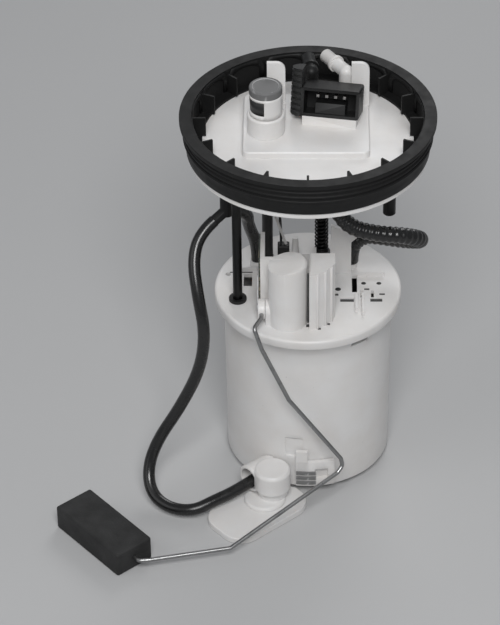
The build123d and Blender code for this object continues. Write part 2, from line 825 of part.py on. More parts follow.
# Suction jet: a body with an open socket for the hose, shaped to the pot's wall at its other end
jet_face = jet_axis_plane.offset(jet_face_along)
socket_end = jet_face.offset(-jet_socket_depth)
wall_along = sqrt(pot_foot_radius**2 - jet_across**2)
mixing_end = wall_along + mixing_grip
with BuildPart() as jet_body:
    with BuildSketch(jet_axis_plane.offset(wall_along - jet_radius)):
        Circle(jet_radius)
    extrude(amount=jet_face_along - wall_along + jet_radius)
    with BuildSketch(Plane.XY):
        Circle(pot_radius + seat_gap)
    extrude(amount=2 * jet_height + jet_radius, mode=Mode.SUBTRACT)
    fillet(jet_body.edges().filter_by(GeomType.CIRCLE).sort_by(Axis((0, 0, 0), jet_plane.z_dir))[-1], 0.8)
    with BuildSketch(socket_end):
        Circle(jet_socket_radius)
    extrude(amount=jet_socket_depth, mode=Mode.SUBTRACT)
    with BuildSketch(jet_axis_plane):
        Circle(jet_bore)
    extrude(amount=jet_face_along, mode=Mode.SUBTRACT)
    with BuildSketch(jet_axis_plane):
        Circle(mixing_radius + seat_gap)
    extrude(amount=mixing_end + seat_gap, mode=Mode.SUBTRACT)
finish(jet_body, "jet_body")

# Jet nozzle: a short tapered insert in the body's bore
with BuildPart() as jet_nozzle:
    with BuildSketch(socket_end):
        Circle(jet_bore - seat_gap)
    extrude(amount=-jet_nozzle_length, taper=4)
    with BuildSketch(socket_end):
        Circle(0.6)
    extrude(amount=-jet_nozzle_length, mode=Mode.SUBTRACT)
finish(jet_nozzle, "jet_nozzle")

# Mixing tube: carries the jet's flow through the pot's wall and across its floor
with BuildPart() as mixing_tube:
    with BuildSketch(jet_axis_plane.offset(mixing_end)):
        Circle(mixing_radius)
        Circle(mixing_bore, mode=Mode.SUBTRACT)
    extrude(amount=-mixing_length)
finish(mixing_tube, "mixing_tube")

# Pickup foot: the flat plate in front of the pot, with a saddle for the jet body
plate_middle = jet_across + foot_plate_shift
plate_start = wall_along - foot_plate_width / 2
with BuildPart() as pickup_foot:
    with BuildSketch(Plane(origin=(0, 0, 0), x_dir=jet_plane.z_dir, z_dir=(0, 0, 1))):
        with Locations(((plate_start + foot_plate_tip_along) / 2, plate_middle)):
            RectangleRounded(foot_plate_tip_along - plate_start, foot_plate_width, foot_plate_corner)
    extrude(amount=foot_plate)
    chamfer(pickup_foot.edges().group_by(Axis.Z)[-1], 1.2)
    with BuildSketch(Plane(origin=(0, 0, foot_plate), x_dir=jet_plane.z_dir, z_dir=(0, 0, 1))):
        with Locations((jet_face_along - foot_boss_radius, jet_across)):
            Circle(foot_boss_radius)
    extrude(amount=jet_height - foot_plate)
    with BuildSketch(Plane.XY):
        Circle(pot_radius + seat_gap)
    extrude(amount=2 * jet_height, mode=Mode.SUBTRACT)
    with BuildSketch(jet_axis_plane):
        Circle(jet_radius + seat_gap)
    extrude(amount=foot_plate_tip_along, mode=Mode.SUBTRACT)
finish(pickup_foot, "pickup_foot")

# Foot strap: a curved clip round the pot's wall from the jet body, with a hook that snaps in the latch
strap_inner = pot_radius + seat_gap
with BuildPart() as foot_strap:
    with BuildSketch(Plane.XY.offset(strap_bottom)):
        Circle(strap_inner + strap_thickness)
        Circle(strap_inner, mode=Mode.SUBTRACT)
        with BuildLine():
            Polyline(
                (0, 0),
                (2 * lid_radius * cos(radians(strap_angles[0])), 2 * lid_radius * sin(radians(strap_angles[0]))),
                (2 * lid_radius * cos(radians(strap_angles[1])), 2 * lid_radius * sin(radians(strap_angles[1]))),
                close=True,
            )
        make_face(mode=Mode.INTERSECT)
    extrude(amount=strap_height)
    with BuildSketch(facing(strap_hook_angle, strap_inner + 0.3, strap_bottom + strap_height + strap_hook_height / 2)):
        Rectangle(strap_hook_width, strap_hook_height)
    extrude(amount=strap_thickness)
    with BuildSketch(facing(strap_angles[1] - 9.0, strap_inner, strap_bottom + strap_height / 2)):
        Rectangle(8.0, 7.0)
    extrude(amount=strap_thickness * 2, mode=Mode.SUBTRACT)
    with BuildSketch(jet_axis_plane):
        Circle(jet_radius + seat_gap)
    extrude(amount=foot_plate_tip_along, mode=Mode.SUBTRACT)
finish(foot_strap, "foot_strap")

# Sender tower: a round post with the float arm's bearing and the wall that carries the card
pivot_plane = Plane(origin=(bearing_face_x, pivot_y, pivot_z), x_dir=(0, 1, 0), z_dir=(1, 0, 0))
carrier_middle = carrier_front + carrier_length / 2
with BuildPart() as sender_tower:
    with BuildSketch(level(tower_place, lid_top)):
        Circle(tower_radius)
    extrude(amount=tower_height)
    fillet(sender_tower.edges().group_by(Axis.Z)[-1], tower_round)
    with BuildSketch(pivot_plane):
        Circle(hub_radius)
        with Locations((0, (lid_top - pivot_z) / 2)):
            Rectangle(2 * hub_radius, pivot_z - lid_top)
    extrude(amount=tower_place[0] - bearing_face_x)
    with BuildSketch(Plane.XY.offset(lid_top)):
        with Locations((carrier_face_x + carrier_thickness / 2, carrier_middle)):
            Rectangle(carrier_thickness, carrier_length)
        with Locations(((carrier_face_x + tower_place[0]) / 2, carrier_front + carrier_thickness / 2)):
            Rectangle(tower_place[0] - carrier_face_x, carrier_thickness)
    extrude(amount=card_height)
    with BuildSketch(pivot_plane):
        Circle(pivot_pin_radius + running)
    extrude(amount=pivot_pin_length, mode=Mode.SUBTRACT)
finish(sender_tower, "sender_tower")

# Ribbed column: beside the tower, with an upright rib on each front corner
with BuildPart() as ribbed_column:
    with BuildSketch(Plane.XY.offset(lid_top)):
        with BuildLine():
            Polyline(*column_outline, close=True)
        make_face()
        with Locations(*column_outline[2:5]):
            Circle(column_rib_radius)
    extrude(amount=column_height)
    chamfer(ribbed_column.faces().sort_by(Axis.Z)[-1].edges().filter_by(GeomType.LINE).sort_by(SortBy.LENGTH)[-2:], 0.8)
finish(ribbed_column, "ribbed_column")

# Sender card: the resistor card on the carrier wall's outer face
with BuildPart() as sender_card:
    with BuildSketch(Plane.XY.offset(lid_top + seat_gap)):
        with Locations((carrier_face_x - card_thickness / 2, carrier_middle)):
            Rectangle(card_thickness, card_length)
    extrude(amount=card_height - 2 * seat_gap)
finish(sender_card, "sender_card")

# Hose bracket: an upright plate with a beaked top, between the supply hose and the pump's place
with BuildPart() as hose_bracket:
    with BuildSketch(Plane(origin=(0, bracket_y, lid_top), x_dir=(1, 0, 0), z_dir=(0, -1, 0))):
        with BuildLine():
            Polyline(*bracket_outline, close=True)
        make_face()
    extrude(amount=bracket_thickness)
finish(hose_bracket, "hose_bracket")

# Pump plug: on the lid, where the two leads from the cover end
with BuildPart() as pump_plug:
    with BuildSketch(level(plug_place, lid_top)):
        Rectangle(plug_size[0], plug_size[1])
    extrude(amount=plug_size[2])
    chamfer(pump_plug.edges().group_by(Axis.Z)[-1], 0.8)
finish(pump_plug, "pump_plug")

# Arm hub: turns on its pin in the tower and grips the wire
hub_right = bearing_face_x - hub_gap
hub_left = hub_right - hub_width
hub_middle = (hub_left + hub_right) / 2
wire_start = (hub_middle, pivot_y - hub_radius + hub_grip, pivot_z)
with BuildPart() as arm_hub:
    with BuildSketch(Plane(origin=(hub_left, pivot_y, pivot_z), x_dir=(0, 1, 0), z_dir=(1, 0, 0))):
        Circle(hub_radius)
    extrude(amount=hub_width)
    with BuildSketch(Plane(origin=(hub_right, pivot_y, pivot_z), x_dir=(0, 1, 0), z_dir=(1, 0, 0))):
        Circle(pivot_pin_radius)
    extrude(amount=pivot_pin_length - hub_gap)
    with BuildSketch(Plane(origin=wire_start, x_dir=(1, 0, 0), z_dir=(0, -1, 0))):
        Circle(wire_radius + seat_gap)
    extrude(amount=hub_radius, mode=Mode.SUBTRACT)
finish(arm_hub, "arm_hub")

# Wiper: a springy metal strip on the hub that runs over the card
with BuildPart() as wiper:
    with BuildSketch(Plane(origin=(hub_left, pivot_y, pivot_z), x_dir=(0, 1, 0), z_dir=(1, 0, 0))):
        Circle(wiper_width / 2)
        with Locations(Location((0, 0, 0), (0, 0, wiper_angle))):
            with Locations((wiper_length / 2, 0)):
                Rectangle(wiper_length, wiper_width)
    extrude(amount=-wiper_thickness)
finish(wiper, "wiper")

# Float: a rounded block that the hooked end of the wire grips along its length
float_axis = Vector(cos(radians(float_angle)), sin(radians(float_angle)), 0)
float_face = Vector(float_centre[0], float_centre[1], wire_route[-1][2]) - float_axis * (float_length / 2)
wire_end = float_face + float_axis * float_grip
with BuildPart() as level_float:
    with BuildSketch(Plane.XY):
        with Locations(Location((float_centre[0], float_centre[1], 0), (0, 0, float_angle))):
            Rectangle(float_length, float_width)
    extrude(amount=float_height)
    fillet(level_float.edges(), float_round)
    with BuildSketch(Plane(origin=float_face, z_dir=float_axis)):
        Circle(wire_radius + seat_gap)
    extrude(amount=float_grip + seat_gap, mode=Mode.SUBTRACT)
finish(level_float, "level_float")

# Float arm: one bent wire from the hub to the float
wire_points = [wire_start, *wire_route, float_face - float_axis * wire_neck, wire_end]
with BuildPart() as float_arm:
    with BuildLine() as wire_line:
        FilletPolyline(*wire_points, radius=wire_bend)
    with BuildSketch(Plane(origin=wire_start, z_dir=(0, -1, 0))):
        Circle(wire_radius)
    sweep(path=wire_line.wires()[0])
finish(float_arm, "float_arm")

# Tank cover: a disc with a stepped rim, a raised plateau, bosses under it, and the stands on it
vent_top = plateau_top + vent_height
socket_out = Vector(0, -cos(radians(socket_tilt)), sin(radians(socket_tilt))).rotate(Axis.Z, -socket_yaw)
socket_across = Vector(cos(radians(socket_yaw)), -sin(radians(socket_yaw)), 0)
socket_base = Vector(socket_place[0], socket_place[1], plateau_top + socket_rise)
socket_plane = Plane(origin=socket_base, x_dir=socket_across, z_dir=socket_out)
plateau_length = plateau_max[0] - plateau_min[0]
plateau_width = plateau_max[1] - plateau_min[1]
plateau_middle = ((plateau_min[0] + plateau_max[0]) / 2, (plateau_min[1] + plateau_max[1]) / 2)
disc_bosses = [(rod_places[0], rod_boss_radius), (tee_place, side_boss_radius), (relief_place, side_boss_radius)]
plateau_bosses = [
    (rod_places[1], rod_boss_radius),
    (vent_tube_place, vent_boss_radius),
    (outlet_place, side_boss_radius),
    (lead_boss_place, lead_boss_radius),
]
with BuildPart() as tank_cover:
    with BuildSketch(Plane.XZ):
        with BuildLine():
            Polyline(
                (0, disc_under),
                (cover_hub_radius - cover_plate, disc_under),
                (cover_hub_radius - cover_plate, cover_bottom),
                (cover_radius, cover_bottom),
                (cover_radius, rim_top),
                (cover_hub_radius, rim_top),
                (cover_hub_radius, disc_top),
                (0, disc_top),
                close=True,
            )
        make_face()
    revolve(axis=Axis.Z)
    with BuildSketch(Plane.XY.offset(disc_under)):
        with Locations(plateau_middle):
            RectangleRounded(plateau_length, plateau_width, plateau_corner)
    extrude(amount=plateau_top - disc_under)
    chamfer(tank_cover.faces().sort_by(Axis.Z)[-1].edges(), 0.6)
    with BuildSketch(Plane.XY.offset(disc_under)):
        with Locations(plateau_middle):
            RectangleRounded(plateau_length - 2 * cover_plate, plateau_width - 2 * cover_plate, plateau_corner)
    extrude(amount=plateau_under - disc_under, mode=Mode.SUBTRACT)
    # bosses under the cover
    for place, radius in disc_bosses:
        with BuildSketch(level(place, boss_bottom)):
            Circle(radius)
        extrude(amount=disc_under - boss_bottom)
    for place, radius in plateau_bosses:
        with BuildSketch(level(place, boss_bottom)):
            Circle(radius)
        extrude(amount=plateau_under - boss_bottom)
    # spigot for the supply hose
    with BuildSketch(level(outlet_place, boss_bottom)):
        Circle(outlet_radius)
    extrude(amount=-spigot_length)
    # stand under the plug socket, cut to the socket's slant
    with BuildSketch(Plane(origin=(socket_base.X, socket_base.Y, plateau_top), x_dir=socket_across, z_dir=(0, 0, 1))):
        with Locations((0, socket_size[2] * cos(radians(socket_tilt)) / 2)):
            Rectangle(socket_size[0] - 2 * socket_corner, socket_size[2] * cos(radians(socket_tilt)))
    extrude(amount=socket_rise)
    with BuildSketch(socket_plane):
        with Locations((0, socket_size[1] / 2)):
            Rectangle(socket_size[0], socket_size[1])
    extrude(amount=-socket_size[2], mode=Mode.SUBTRACT)
    # vent tower, with its window and the vent holes in its floor
    with BuildSketch(level(vent_place, plateau_top)):
        Circle(vent_radius)
        Circle(vent_radius - vent_wall, mode=Mode.SUBTRACT)
    extrude(amount=vent_height)
    with BuildSketch(level(vent_place, plateau_under)):
        with PolarLocations(vent_hole_circle, 3):
            Circle(vent_hole_radius)
    extrude(amount=cover_plate, mode=Mode.SUBTRACT)
    window_out = Vector(cos(radians(vent_window_angle)), sin(radians(vent_window_angle)), 0)
    window_base = Vector(vent_place[0], vent_place[1], plateau_top + vent_window_rise + vent_window_height / 2)
    with BuildSketch(Plane(origin=window_base, x_dir=(-window_out.Y, window_out.X, 0), z_dir=window_out)):
        Rectangle(vent_window_width, vent_window_height)
    extrude(amount=vent_radius, mode=Mode.SUBTRACT)
    # two upright guards, each with its right shoulder rounded
    for place, width, height in guards:
        with BuildSketch(Plane(origin=(place[0], place[1] + guard_thickness / 2, plateau_top), x_dir=(1, 0, 0), z_dir=(0, -1, 0))):
            with Locations((0, height / 2)):
                guard_face = Rectangle(width, height)
            fillet(guard_face.vertices().group_by(Axis.Z)[-1].sort_by(Axis.X)[-1], guard_round)
        extrude(amount=guard_thickness)
    # sockets in the bosses and the passage of the outlet
    with BuildSketch(Plane.XY.offset(boss_bottom)):
        with Locations(*rod_places):
            Circle(rod_radius + seat_gap)
    extrude(amount=rod_socket_depth, mode=Mode.SUBTRACT)
    with BuildSketch(level(vent_tube_place, boss_bottom)):
        Circle(vent_tube_radius + seat_gap)
    extrude(amount=vent_tube_socket, mode=Mode.SUBTRACT)
    with BuildSketch(Plane.XY.offset(boss_bottom)):
        with Locations(tee_place, relief_place):
            Circle(side_plug_radius + seat_gap)
    extrude(amount=side_plug_length, mode=Mode.SUBTRACT)
    with BuildSketch(level(outlet_place, boss_bottom - spigot_length)):
        Circle(spigot_bore)
    extrude(amount=disc_top - boss_bottom, mode=Mode.SUBTRACT)
finish(tank_cover, "tank_cover")

# Seal ring: a ribbed rubber ring on the cover's rim, with beads round its wall and ribs inside
with BuildPart() as seal_ring:
    with BuildSketch(Plane.XZ):
        with BuildLine():
            Polyline(
                (cover_hub_radius + seat_gap, rim_top),
                (seal_foot_radius, rim_top),
                (seal_wall_radius, seal_top - seal_lip),
                (seal_radius, seal_top - seal_lip),
                (seal_radius, seal_top),
                (seal_inner_radius, seal_top),
                (seal_inner_radius, rim_top + seal_base),
                (cover_hub_radius + seat_gap, rim_top + seal_base),
                close=True,
            )
        make_face()
        for drop in seal_bead_drops:
            with Locations((seal_wall_radius - seal_bead_radius / 2, seal_top - drop)):
                Circle(seal_bead_radius)
    revolve(axis=Axis.Z)
    with BuildSketch(Plane.XY.offset(rim_top + seal_base)):
        with PolarLocations((seal_rib_end_radius + seal_inner_radius) / 2, seal_rib_count):
            Rectangle(seal_inner_radius - seal_rib_end_radius + seal_rib_width, seal_rib_width)
    extrude(amount=seal_top - seal_rib_drop - rim_top - seal_base)
finish(seal_ring, "seal_ring")

# Jet tee: a plugged-in pipe under the cover with a leg for each of its two hoses
tee_bottom = boss_bottom - tee_length
tee_left = Vector(*tee_left_direction).normalized()
tee_right = Vector(*tee_right_direction).normalized()
tee_left_root = Vector(tee_place[0], tee_place[1], tee_bottom + tee_left_rise)
tee_right_root = Vector(tee_place[0], tee_place[1], tee_bottom + tee_right_rise)
with BuildPart() as jet_tee:
    with BuildSketch(level(tee_place, tee_bottom)):
        Circle(tee_radius)
    extrude(amount=tee_length)
    fillet(jet_tee.edges().group_by(Axis.Z)[0], 1.2)
    with BuildSketch(level(tee_place, boss_bottom)):
        Circle(side_plug_radius)
    extrude(amount=side_plug_length)
    for root, direction in ((tee_left_root, tee_left), (tee_right_root, tee_right)):
        with BuildSketch(Plane(origin=root, z_dir=direction)):
            Circle(tee_leg_radius)
        extrude(amount=tee_leg)
    for root, direction in ((tee_left_root, tee_left), (tee_right_root, tee_right)):
        with BuildSketch(Plane(origin=root, z_dir=direction)):
            Circle(tee_leg_bore)
        extrude(amount=tee_leg, mode=Mode.SUBTRACT)
finish(jet_tee, "jet_tee")

# Relief valve: a plain cartridge plugged in under the cover's right side
with BuildPart() as relief_valve:
    with BuildSketch(level(relief_place, boss_bottom)):
        Circle(relief_radius)
    extrude(amount=-relief_length)
    chamfer(relief_valve.edges().group_by(Axis.Z)[0], 0.6)
    with BuildSketch(level(relief_place, boss_bottom)):
        Circle(side_plug_radius)
    extrude(amount=side_plug_length)
    with BuildSketch(level(relief_place, boss_bottom - relief_length)):
        Circle(relief_bore)
    extrude(amount=relief_bore_depth, mode=Mode.SUBTRACT)
finish(relief_valve, "relief_valve")

# Vent float: rises to shut the vent
with BuildPart() as vent_float:
    with BuildSketch(level(vent_place, plateau_top)):
        Circle(vent_float_radius)
    extrude(amount=vent_float_length)
    fillet(vent_float.edges().group_by(Axis.Z)[-1], 1.5)
finish(vent_float, "vent_float")

# Vent cap: closes the vent tower, with a short skirt inside it
with BuildPart() as vent_lid:
    with BuildSketch(level(vent_place, vent_top)):
        Circle(vent_radius)
    extrude(amount=vent_cap)
    fillet(vent_lid.edges().group_by(Axis.Z)[-1], 0.6)
    with BuildSketch(level(vent_place, vent_top)):
        Circle(vent_radius - vent_wall - seat_gap)
        Circle(vent_float_radius - vent_wall, mode=Mode.SUBTRACT)
    extrude(amount=-vent_skirt)
finish(vent_lid, "vent_cap")

# Connector socket: a slanted housing, open to the front, with a key block in it
cavity_floor = socket_plane.offset(-socket_cavity)
with BuildPart() as connector_socket:
    with BuildSketch(socket_plane):
        with Locations((0, socket_size[1] / 2)):
            RectangleRounded(socket_size[0], socket_size[1], socket_corner)
            Rectangle(socket_size[0] - 2 * socket_wall, socket_size[1] - 2 * socket_wall, mode=Mode.SUBTRACT)
    extrude(amount=-socket_size[2])
    with BuildSketch(cavity_floor):
        with Locations((0, socket_size[1] / 2)):
            Rectangle(socket_size[0] - socket_wall, socket_size[1] - socket_wall)
    extrude(amount=socket_cavity - socket_size[2])
    with BuildSketch(cavity_floor):
        with Locations((0, socket_wall + key_height / 2)):
            Rectangle(key_width, key_height)
    extrude(amount=socket_cavity - key_inset)
    with BuildSketch(cavity_floor):
        with Locations((0, pin_up)):
            with GridLocations(pin_pitch, 0, pin_count, 1):
                Rectangle(pin_size + 2 * seat_gap, pin_size + 2 * seat_gap)
    extrude(amount=-pin_root, mode=Mode.SUBTRACT)
finish(connector_socket, "connector_socket")

# Connector pins: square pins pressed in the cavity's floor
with BuildPart() as connector_pins:
    with BuildSketch(cavity_floor.offset(-pin_root)):
        with Locations((0, pin_up)):
            with GridLocations(pin_pitch, 0, pin_count, 1):
                Rectangle(pin_size, pin_size)
    extrude(amount=pin_root + pin_length)
finish(connector_pins, "connector_pins")

# Socket latch: the grooved block on the socket's left side that the plug's catch holds to
with BuildPart() as socket_latch:
    with BuildSketch(socket_plane):
        with Locations((-(socket_size[0] + latch_block_width) / 2, socket_size[1] / 2 + latch_block_rise)):
            Rectangle(latch_block_width, socket_size[1])
    extrude(amount=-latch_block_depth)
    with BuildSketch(socket_plane):
        with Locations((-(socket_size[0] + latch_block_width) / 2, socket_size[1] / 2 + latch_block_rise)):
            with GridLocations(0, socket_size[1] / latch_groove_count, 1, latch_groove_count):
                Rectangle(latch_block_width, latch_groove)
    extrude(amount=-latch_groove, mode=Mode.SUBTRACT)
finish(socket_latch, "socket_latch")

# Hose ports: an upright stem with a level nipple, one for the supply and one for the return
port_level = plateau_top + port_height
for name, (place, angle, reach) in (("supply_port", supply_port), ("return_port", return_port)):
    direction = Vector(cos(radians(angle)), sin(radians(angle)), 0)
    nipple_plane = Plane(origin=(place[0], place[1], port_level), z_dir=direction)
    with BuildPart() as hose_port:
        with BuildSketch(level(place, plateau_top)):
            Circle(port_radius)
        extrude(amount=port_height)
        with Locations((place[0], place[1], port_level)):
            Sphere(port_radius)
        with BuildSketch(nipple_plane):
            Circle(nipple_radius)
        extrude(amount=reach)
        with BuildSketch(nipple_plane.offset(reach - nipple_tip)):
            Circle(collar_radius)
        extrude(amount=-collar_width)
        with BuildSketch(nipple_plane):
            Circle(port_bore)
        extrude(amount=reach, mode=Mode.SUBTRACT)
    finish(hose_port, name)

# Hoses and leads: plain round tubes from fitting to fitting
jet_end = jet_face.offset(-jet_socket_depth).origin
hose_approach = jet_face.offset(hose_approach_length).origin
tee_left_end = tee_left_root + tee_left * tee_leg
tee_right_end = tee_right_root + tee_right * tee_leg
exit_rise = Vector(0, 0, hose_exit_length)
jet_hose = hose_along(
    [tee_left_end, tee_left_end + tee_left * hose_exit_length, *jet_hose_route, hose_approach, jet_end],
    hose_radius,
)
finish(jet_hose, "jet_hose")

outlet_start = Vector(outlet_place[0], outlet_place[1], boss_bottom - spigot_length)
supply_end = Vector(pump_outlet[0], pump_outlet[1], lid_top + spigot_length)
supply_hose = hose_along(
    [outlet_start, outlet_start - exit_rise, *supply_hose_route, supply_end + exit_rise, supply_end],
    hose_radius,
)
finish(supply_hose, "supply_hose")

return_end = Vector(return_spigot_place[0], return_spigot_place[1], lid_top + spigot_length)
return_hose = hose_along(
    [tee_right_end, tee_right_end + tee_right * hose_exit_length, *return_hose_route, return_end + exit_rise, return_end],
    hose_radius,
)
finish(return_hose, "return_hose")

plug_top = Vector(plug_place[0], plug_place[1], lid_top + plug_size[2])
lead_top = Vector(lead_boss_place[0], lead_boss_place[1], boss_bottom)
lead_rise = Vector(0, 0, lead_exit_length)
with BuildPart() as pump_leads:
    for side in (-1, 1):
        apart = Vector(side * lead_spread, 0, 0)
        lead_points = [lead_top, lead_top - lead_rise, *lead_route, plug_top + lead_rise, plug_top]
        lead = hose_along([Vector(*point) + apart for point in lead_points], lead_radius)
        add(lead.part)
finish(pump_leads, "pump_leads")
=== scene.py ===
# Fuel pump module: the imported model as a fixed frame, dressed with materials and finer pieces.
# Routes and shapes are in millimetres. The camera, lamps and textures are in metres.
import math

import bmesh
import bpy
from mathutils import Matrix, Vector


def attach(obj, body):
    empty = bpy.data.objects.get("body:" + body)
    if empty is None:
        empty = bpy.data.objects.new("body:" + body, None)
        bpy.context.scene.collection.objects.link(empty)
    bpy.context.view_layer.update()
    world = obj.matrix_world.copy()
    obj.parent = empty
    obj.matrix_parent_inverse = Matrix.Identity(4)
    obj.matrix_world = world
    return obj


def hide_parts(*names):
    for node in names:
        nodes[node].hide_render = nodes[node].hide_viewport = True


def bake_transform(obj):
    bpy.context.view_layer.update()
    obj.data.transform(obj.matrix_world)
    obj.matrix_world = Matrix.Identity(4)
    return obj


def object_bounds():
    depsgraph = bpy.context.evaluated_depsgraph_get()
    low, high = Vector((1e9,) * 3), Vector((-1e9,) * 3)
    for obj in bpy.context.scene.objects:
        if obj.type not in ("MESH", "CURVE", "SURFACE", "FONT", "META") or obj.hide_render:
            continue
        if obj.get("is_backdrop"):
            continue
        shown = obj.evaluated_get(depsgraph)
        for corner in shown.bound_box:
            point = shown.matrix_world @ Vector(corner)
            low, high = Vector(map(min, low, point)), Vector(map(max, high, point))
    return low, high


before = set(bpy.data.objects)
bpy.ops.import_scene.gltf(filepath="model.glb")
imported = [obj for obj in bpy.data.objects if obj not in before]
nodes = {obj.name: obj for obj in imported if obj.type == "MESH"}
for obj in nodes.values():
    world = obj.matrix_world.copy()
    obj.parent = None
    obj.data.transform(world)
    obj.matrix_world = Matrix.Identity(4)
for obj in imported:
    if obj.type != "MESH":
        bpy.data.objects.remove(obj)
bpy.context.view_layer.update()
scene = bpy.context.scene
MM = 0.001


# Camera, at the photograph's place and lens
camera_data = bpy.data.cameras.new("camera")
camera_data.lens = 172.8
camera_data.sensor_width = 36.0
camera_data.clip_start = 0.05
camera_data.clip_end = 50.0
camera = bpy.data.objects.new("camera", camera_data)
scene.collection.objects.link(camera)
camera_place = Vector((0.0, -1.42274, 1.16591))
right = Vector((0.99981, 0.01560, -0.01136)).normalized()
back = Vector((0.01930, -0.79953, 0.60031))
back = (back - right * back.dot(right)).normalized()
up = back.cross(right)
camera.matrix_world = Matrix(
    (
        (right.x, up.x, back.x, camera_place.x),
        (right.y, up.y, back.y, camera_place.y),
        (right.z, up.z, back.z, camera_place.z),
        (0.0, 0.0, 0.0, 1.0),
    )
)
scene.camera = camera


# Hoses and leads: their sizes and their routes
hose_diameter = 7.2
supply_diameter = 10.0
supply_pitch = 3.6        # of the supply hose's convolutions
supply_groove = 0.55      # their depth
supply_cuff = 9.0         # plain length at each end
lead_diameter = 1.6
jet_route = [
    (-54.11, -3.79, 166.97),
    (-62.35, -8.19, 161.15),
    (-66.5, -19.0, 150.0),
    (-63.5, -32.0, 133.0),
    (-59.5, -39.0, 112.0),
    (-63.0, -40.0, 86.0),
    (-75.5, -40.5, 58.0),
    (-89.5, -43.0, 35.0),
    (-95.5, -50.0, 19.0),
    (-93.0, -61.5, 9.0),
    (-82.5, -71.0, 6.0),
    (-68.0, -75.0, 7.0),
    (-55.5, -69.0, 10.0),
    (-43.0, -62.0, 11.6),
    (-31.5, -53.0, 13.6),
]
supply_route = [
    (14.0, 6.0, 205.5),
    (14.0, 6.0, 194.5),
    (13.5, -2.5, 182.0),
    (22.0, -11.5, 168.5),
    (39.0, -13.5, 164.5),
    (55.0, -11.0, 161.5),
    (65.0, -3.5, 154.0),
    (65.5, 6.0, 145.8),
    (57.0, 14.5, 140.0),
    (45.0, 19.5, 138.5),
    (33.5, 20.5, 139.4),
    (25.0, 20.0, 132.5),
    (25.0, 20.0, 121.5),
]
return_route = [
    (-41.29, 4.28, 169.72),
    (-34.69, 9.23, 162.46),
    (-35.5, 13.0, 154.0),
    (-30.0, 21.0, 132.5),
    (-30.0, 21.0, 121.5),
]
dark_lead_route = [
    (-15.4, 24.0, 209.5),
    (-15.4, 24.0, 189.5),
    (-19.9, 25.0, 170.0),
    (-15.9, 27.0, 148.5),
    (-15.9, 27.0, 128.5),
]
pale_lead_route = [
    (-12.6, 24.0, 209.5),
    (-13.0, 24.0, 191.5),
    (-20.0, 24.5, 172.0),
    (-20.5, 25.0, 154.0),
    (-16.5, 26.5, 140.5),
    (-13.1, 27.0, 128.5),
]


def curve_of(name, points, diameter):
    """A smooth NURBS curve with the points as its control points, thick if it has a diameter."""
    data = bpy.data.curves.new(name, "CURVE")
    data.dimensions = "3D"
    data.bevel_depth = diameter / 2 * MM
    data.bevel_resolution = 6
    data.use_fill_caps = True
    data.resolution_u = 12 if diameter else 24
    spline = data.splines.new("NURBS")
    spline.points.add(len(points) - 1)
    for control, point in zip(spline.points, points):
        control.co = (point[0] * MM, point[1] * MM, point[2] * MM, 1.0)
    spline.order_u = 3
    spline.use_endpoint_u = True
    return bpy.data.objects.new(name, data)


def mesh_of(curve):
    """The mesh that a curve object makes, with the curve taken away."""
    scene.collection.objects.link(curve)
    bpy.context.view_layer.update()
    shown = curve.evaluated_get(bpy.context.evaluated_depsgraph_get())
    mesh = bpy.data.meshes.new_from_object(shown)
    scene.collection.objects.unlink(curve)
    return mesh


def mesh_from(name, shape, scale=MM):
    """Turn a shape into a mesh, and free it."""
    bmesh.ops.recalc_face_normals(shape, faces=shape.faces)
    bmesh.ops.scale(shape, vec=(scale, scale, scale), verts=shape.verts)
    mesh = bpy.data.meshes.new(name)
    shape.to_mesh(mesh)
    shape.free()
    return mesh


def smooth_object(name, mesh):
    """An object in the scene that shows the mesh with smooth shading."""
    piece = bpy.data.objects.new(name, mesh)
    scene.collection.objects.link(piece)
    for polygon in mesh.polygons:
        polygon.use_smooth = True
    return piece


def convoluted_tube(name, path, diameter, pitch):
    """A tube round a path whose wall rises and falls in rings, with a plain cuff at each end."""
    sides = 20
    places = [Vector(point) / MM for point in path]
    total = sum((b - a).length for a, b in zip(places, places[1:]))
    across = Vector((1.0, 0.0, 0.0))
    shape = bmesh.new()
    rings = []
    travelled = 0.0
    for index, place in enumerate(places):
        ahead = (places[min(index + 1, len(places) - 1)] - places[max(index - 1, 0)]).normalized()
        across = (across - ahead * across.dot(ahead)).normalized()
        upward = ahead.cross(across)
        if index:
            travelled += (place - places[index - 1]).length
        depth = supply_groove if supply_cuff < travelled < total - supply_cuff else 0.0
        radius = diameter / 2 - depth * (0.5 - 0.5 * math.cos(2 * math.pi * travelled / pitch))
        ring = []
        for side in range(sides):
            angle = 2 * math.pi * side / sides
            outward = across * math.cos(angle) + upward * math.sin(angle)
            ring.append(shape.verts.new(place + outward * radius))
        rings.append(ring)
    for first, second in zip(rings, rings[1:]):
        for side in range(sides):
            after = (side + 1) % sides
            shape.faces.new((first[side], first[after], second[after], second[side]))
    shape.faces.new(rings[0][::-1])
    shape.faces.new(rings[-1])
    return mesh_from(name, shape)


def cord_piece(name, points, diameter, node, pitch=None):
    """A hose or lead along a smooth route, ringed if it has a pitch, in place of the imported node if one is
    named.
    """
    line = mesh_of(curve_of(name + "_line", points, 0.0))
    path = [tuple(vertex.co) for vertex in line.vertices]
    if pitch:
        mesh = convoluted_tube(name, path, diameter, pitch)
    else:
        mesh = mesh_of(curve_of(name + "_tube", points, diameter))
    mesh.name = name
    piece = smooth_object(name, mesh)
    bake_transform(piece)
    if node:
        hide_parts(node)
    return piece


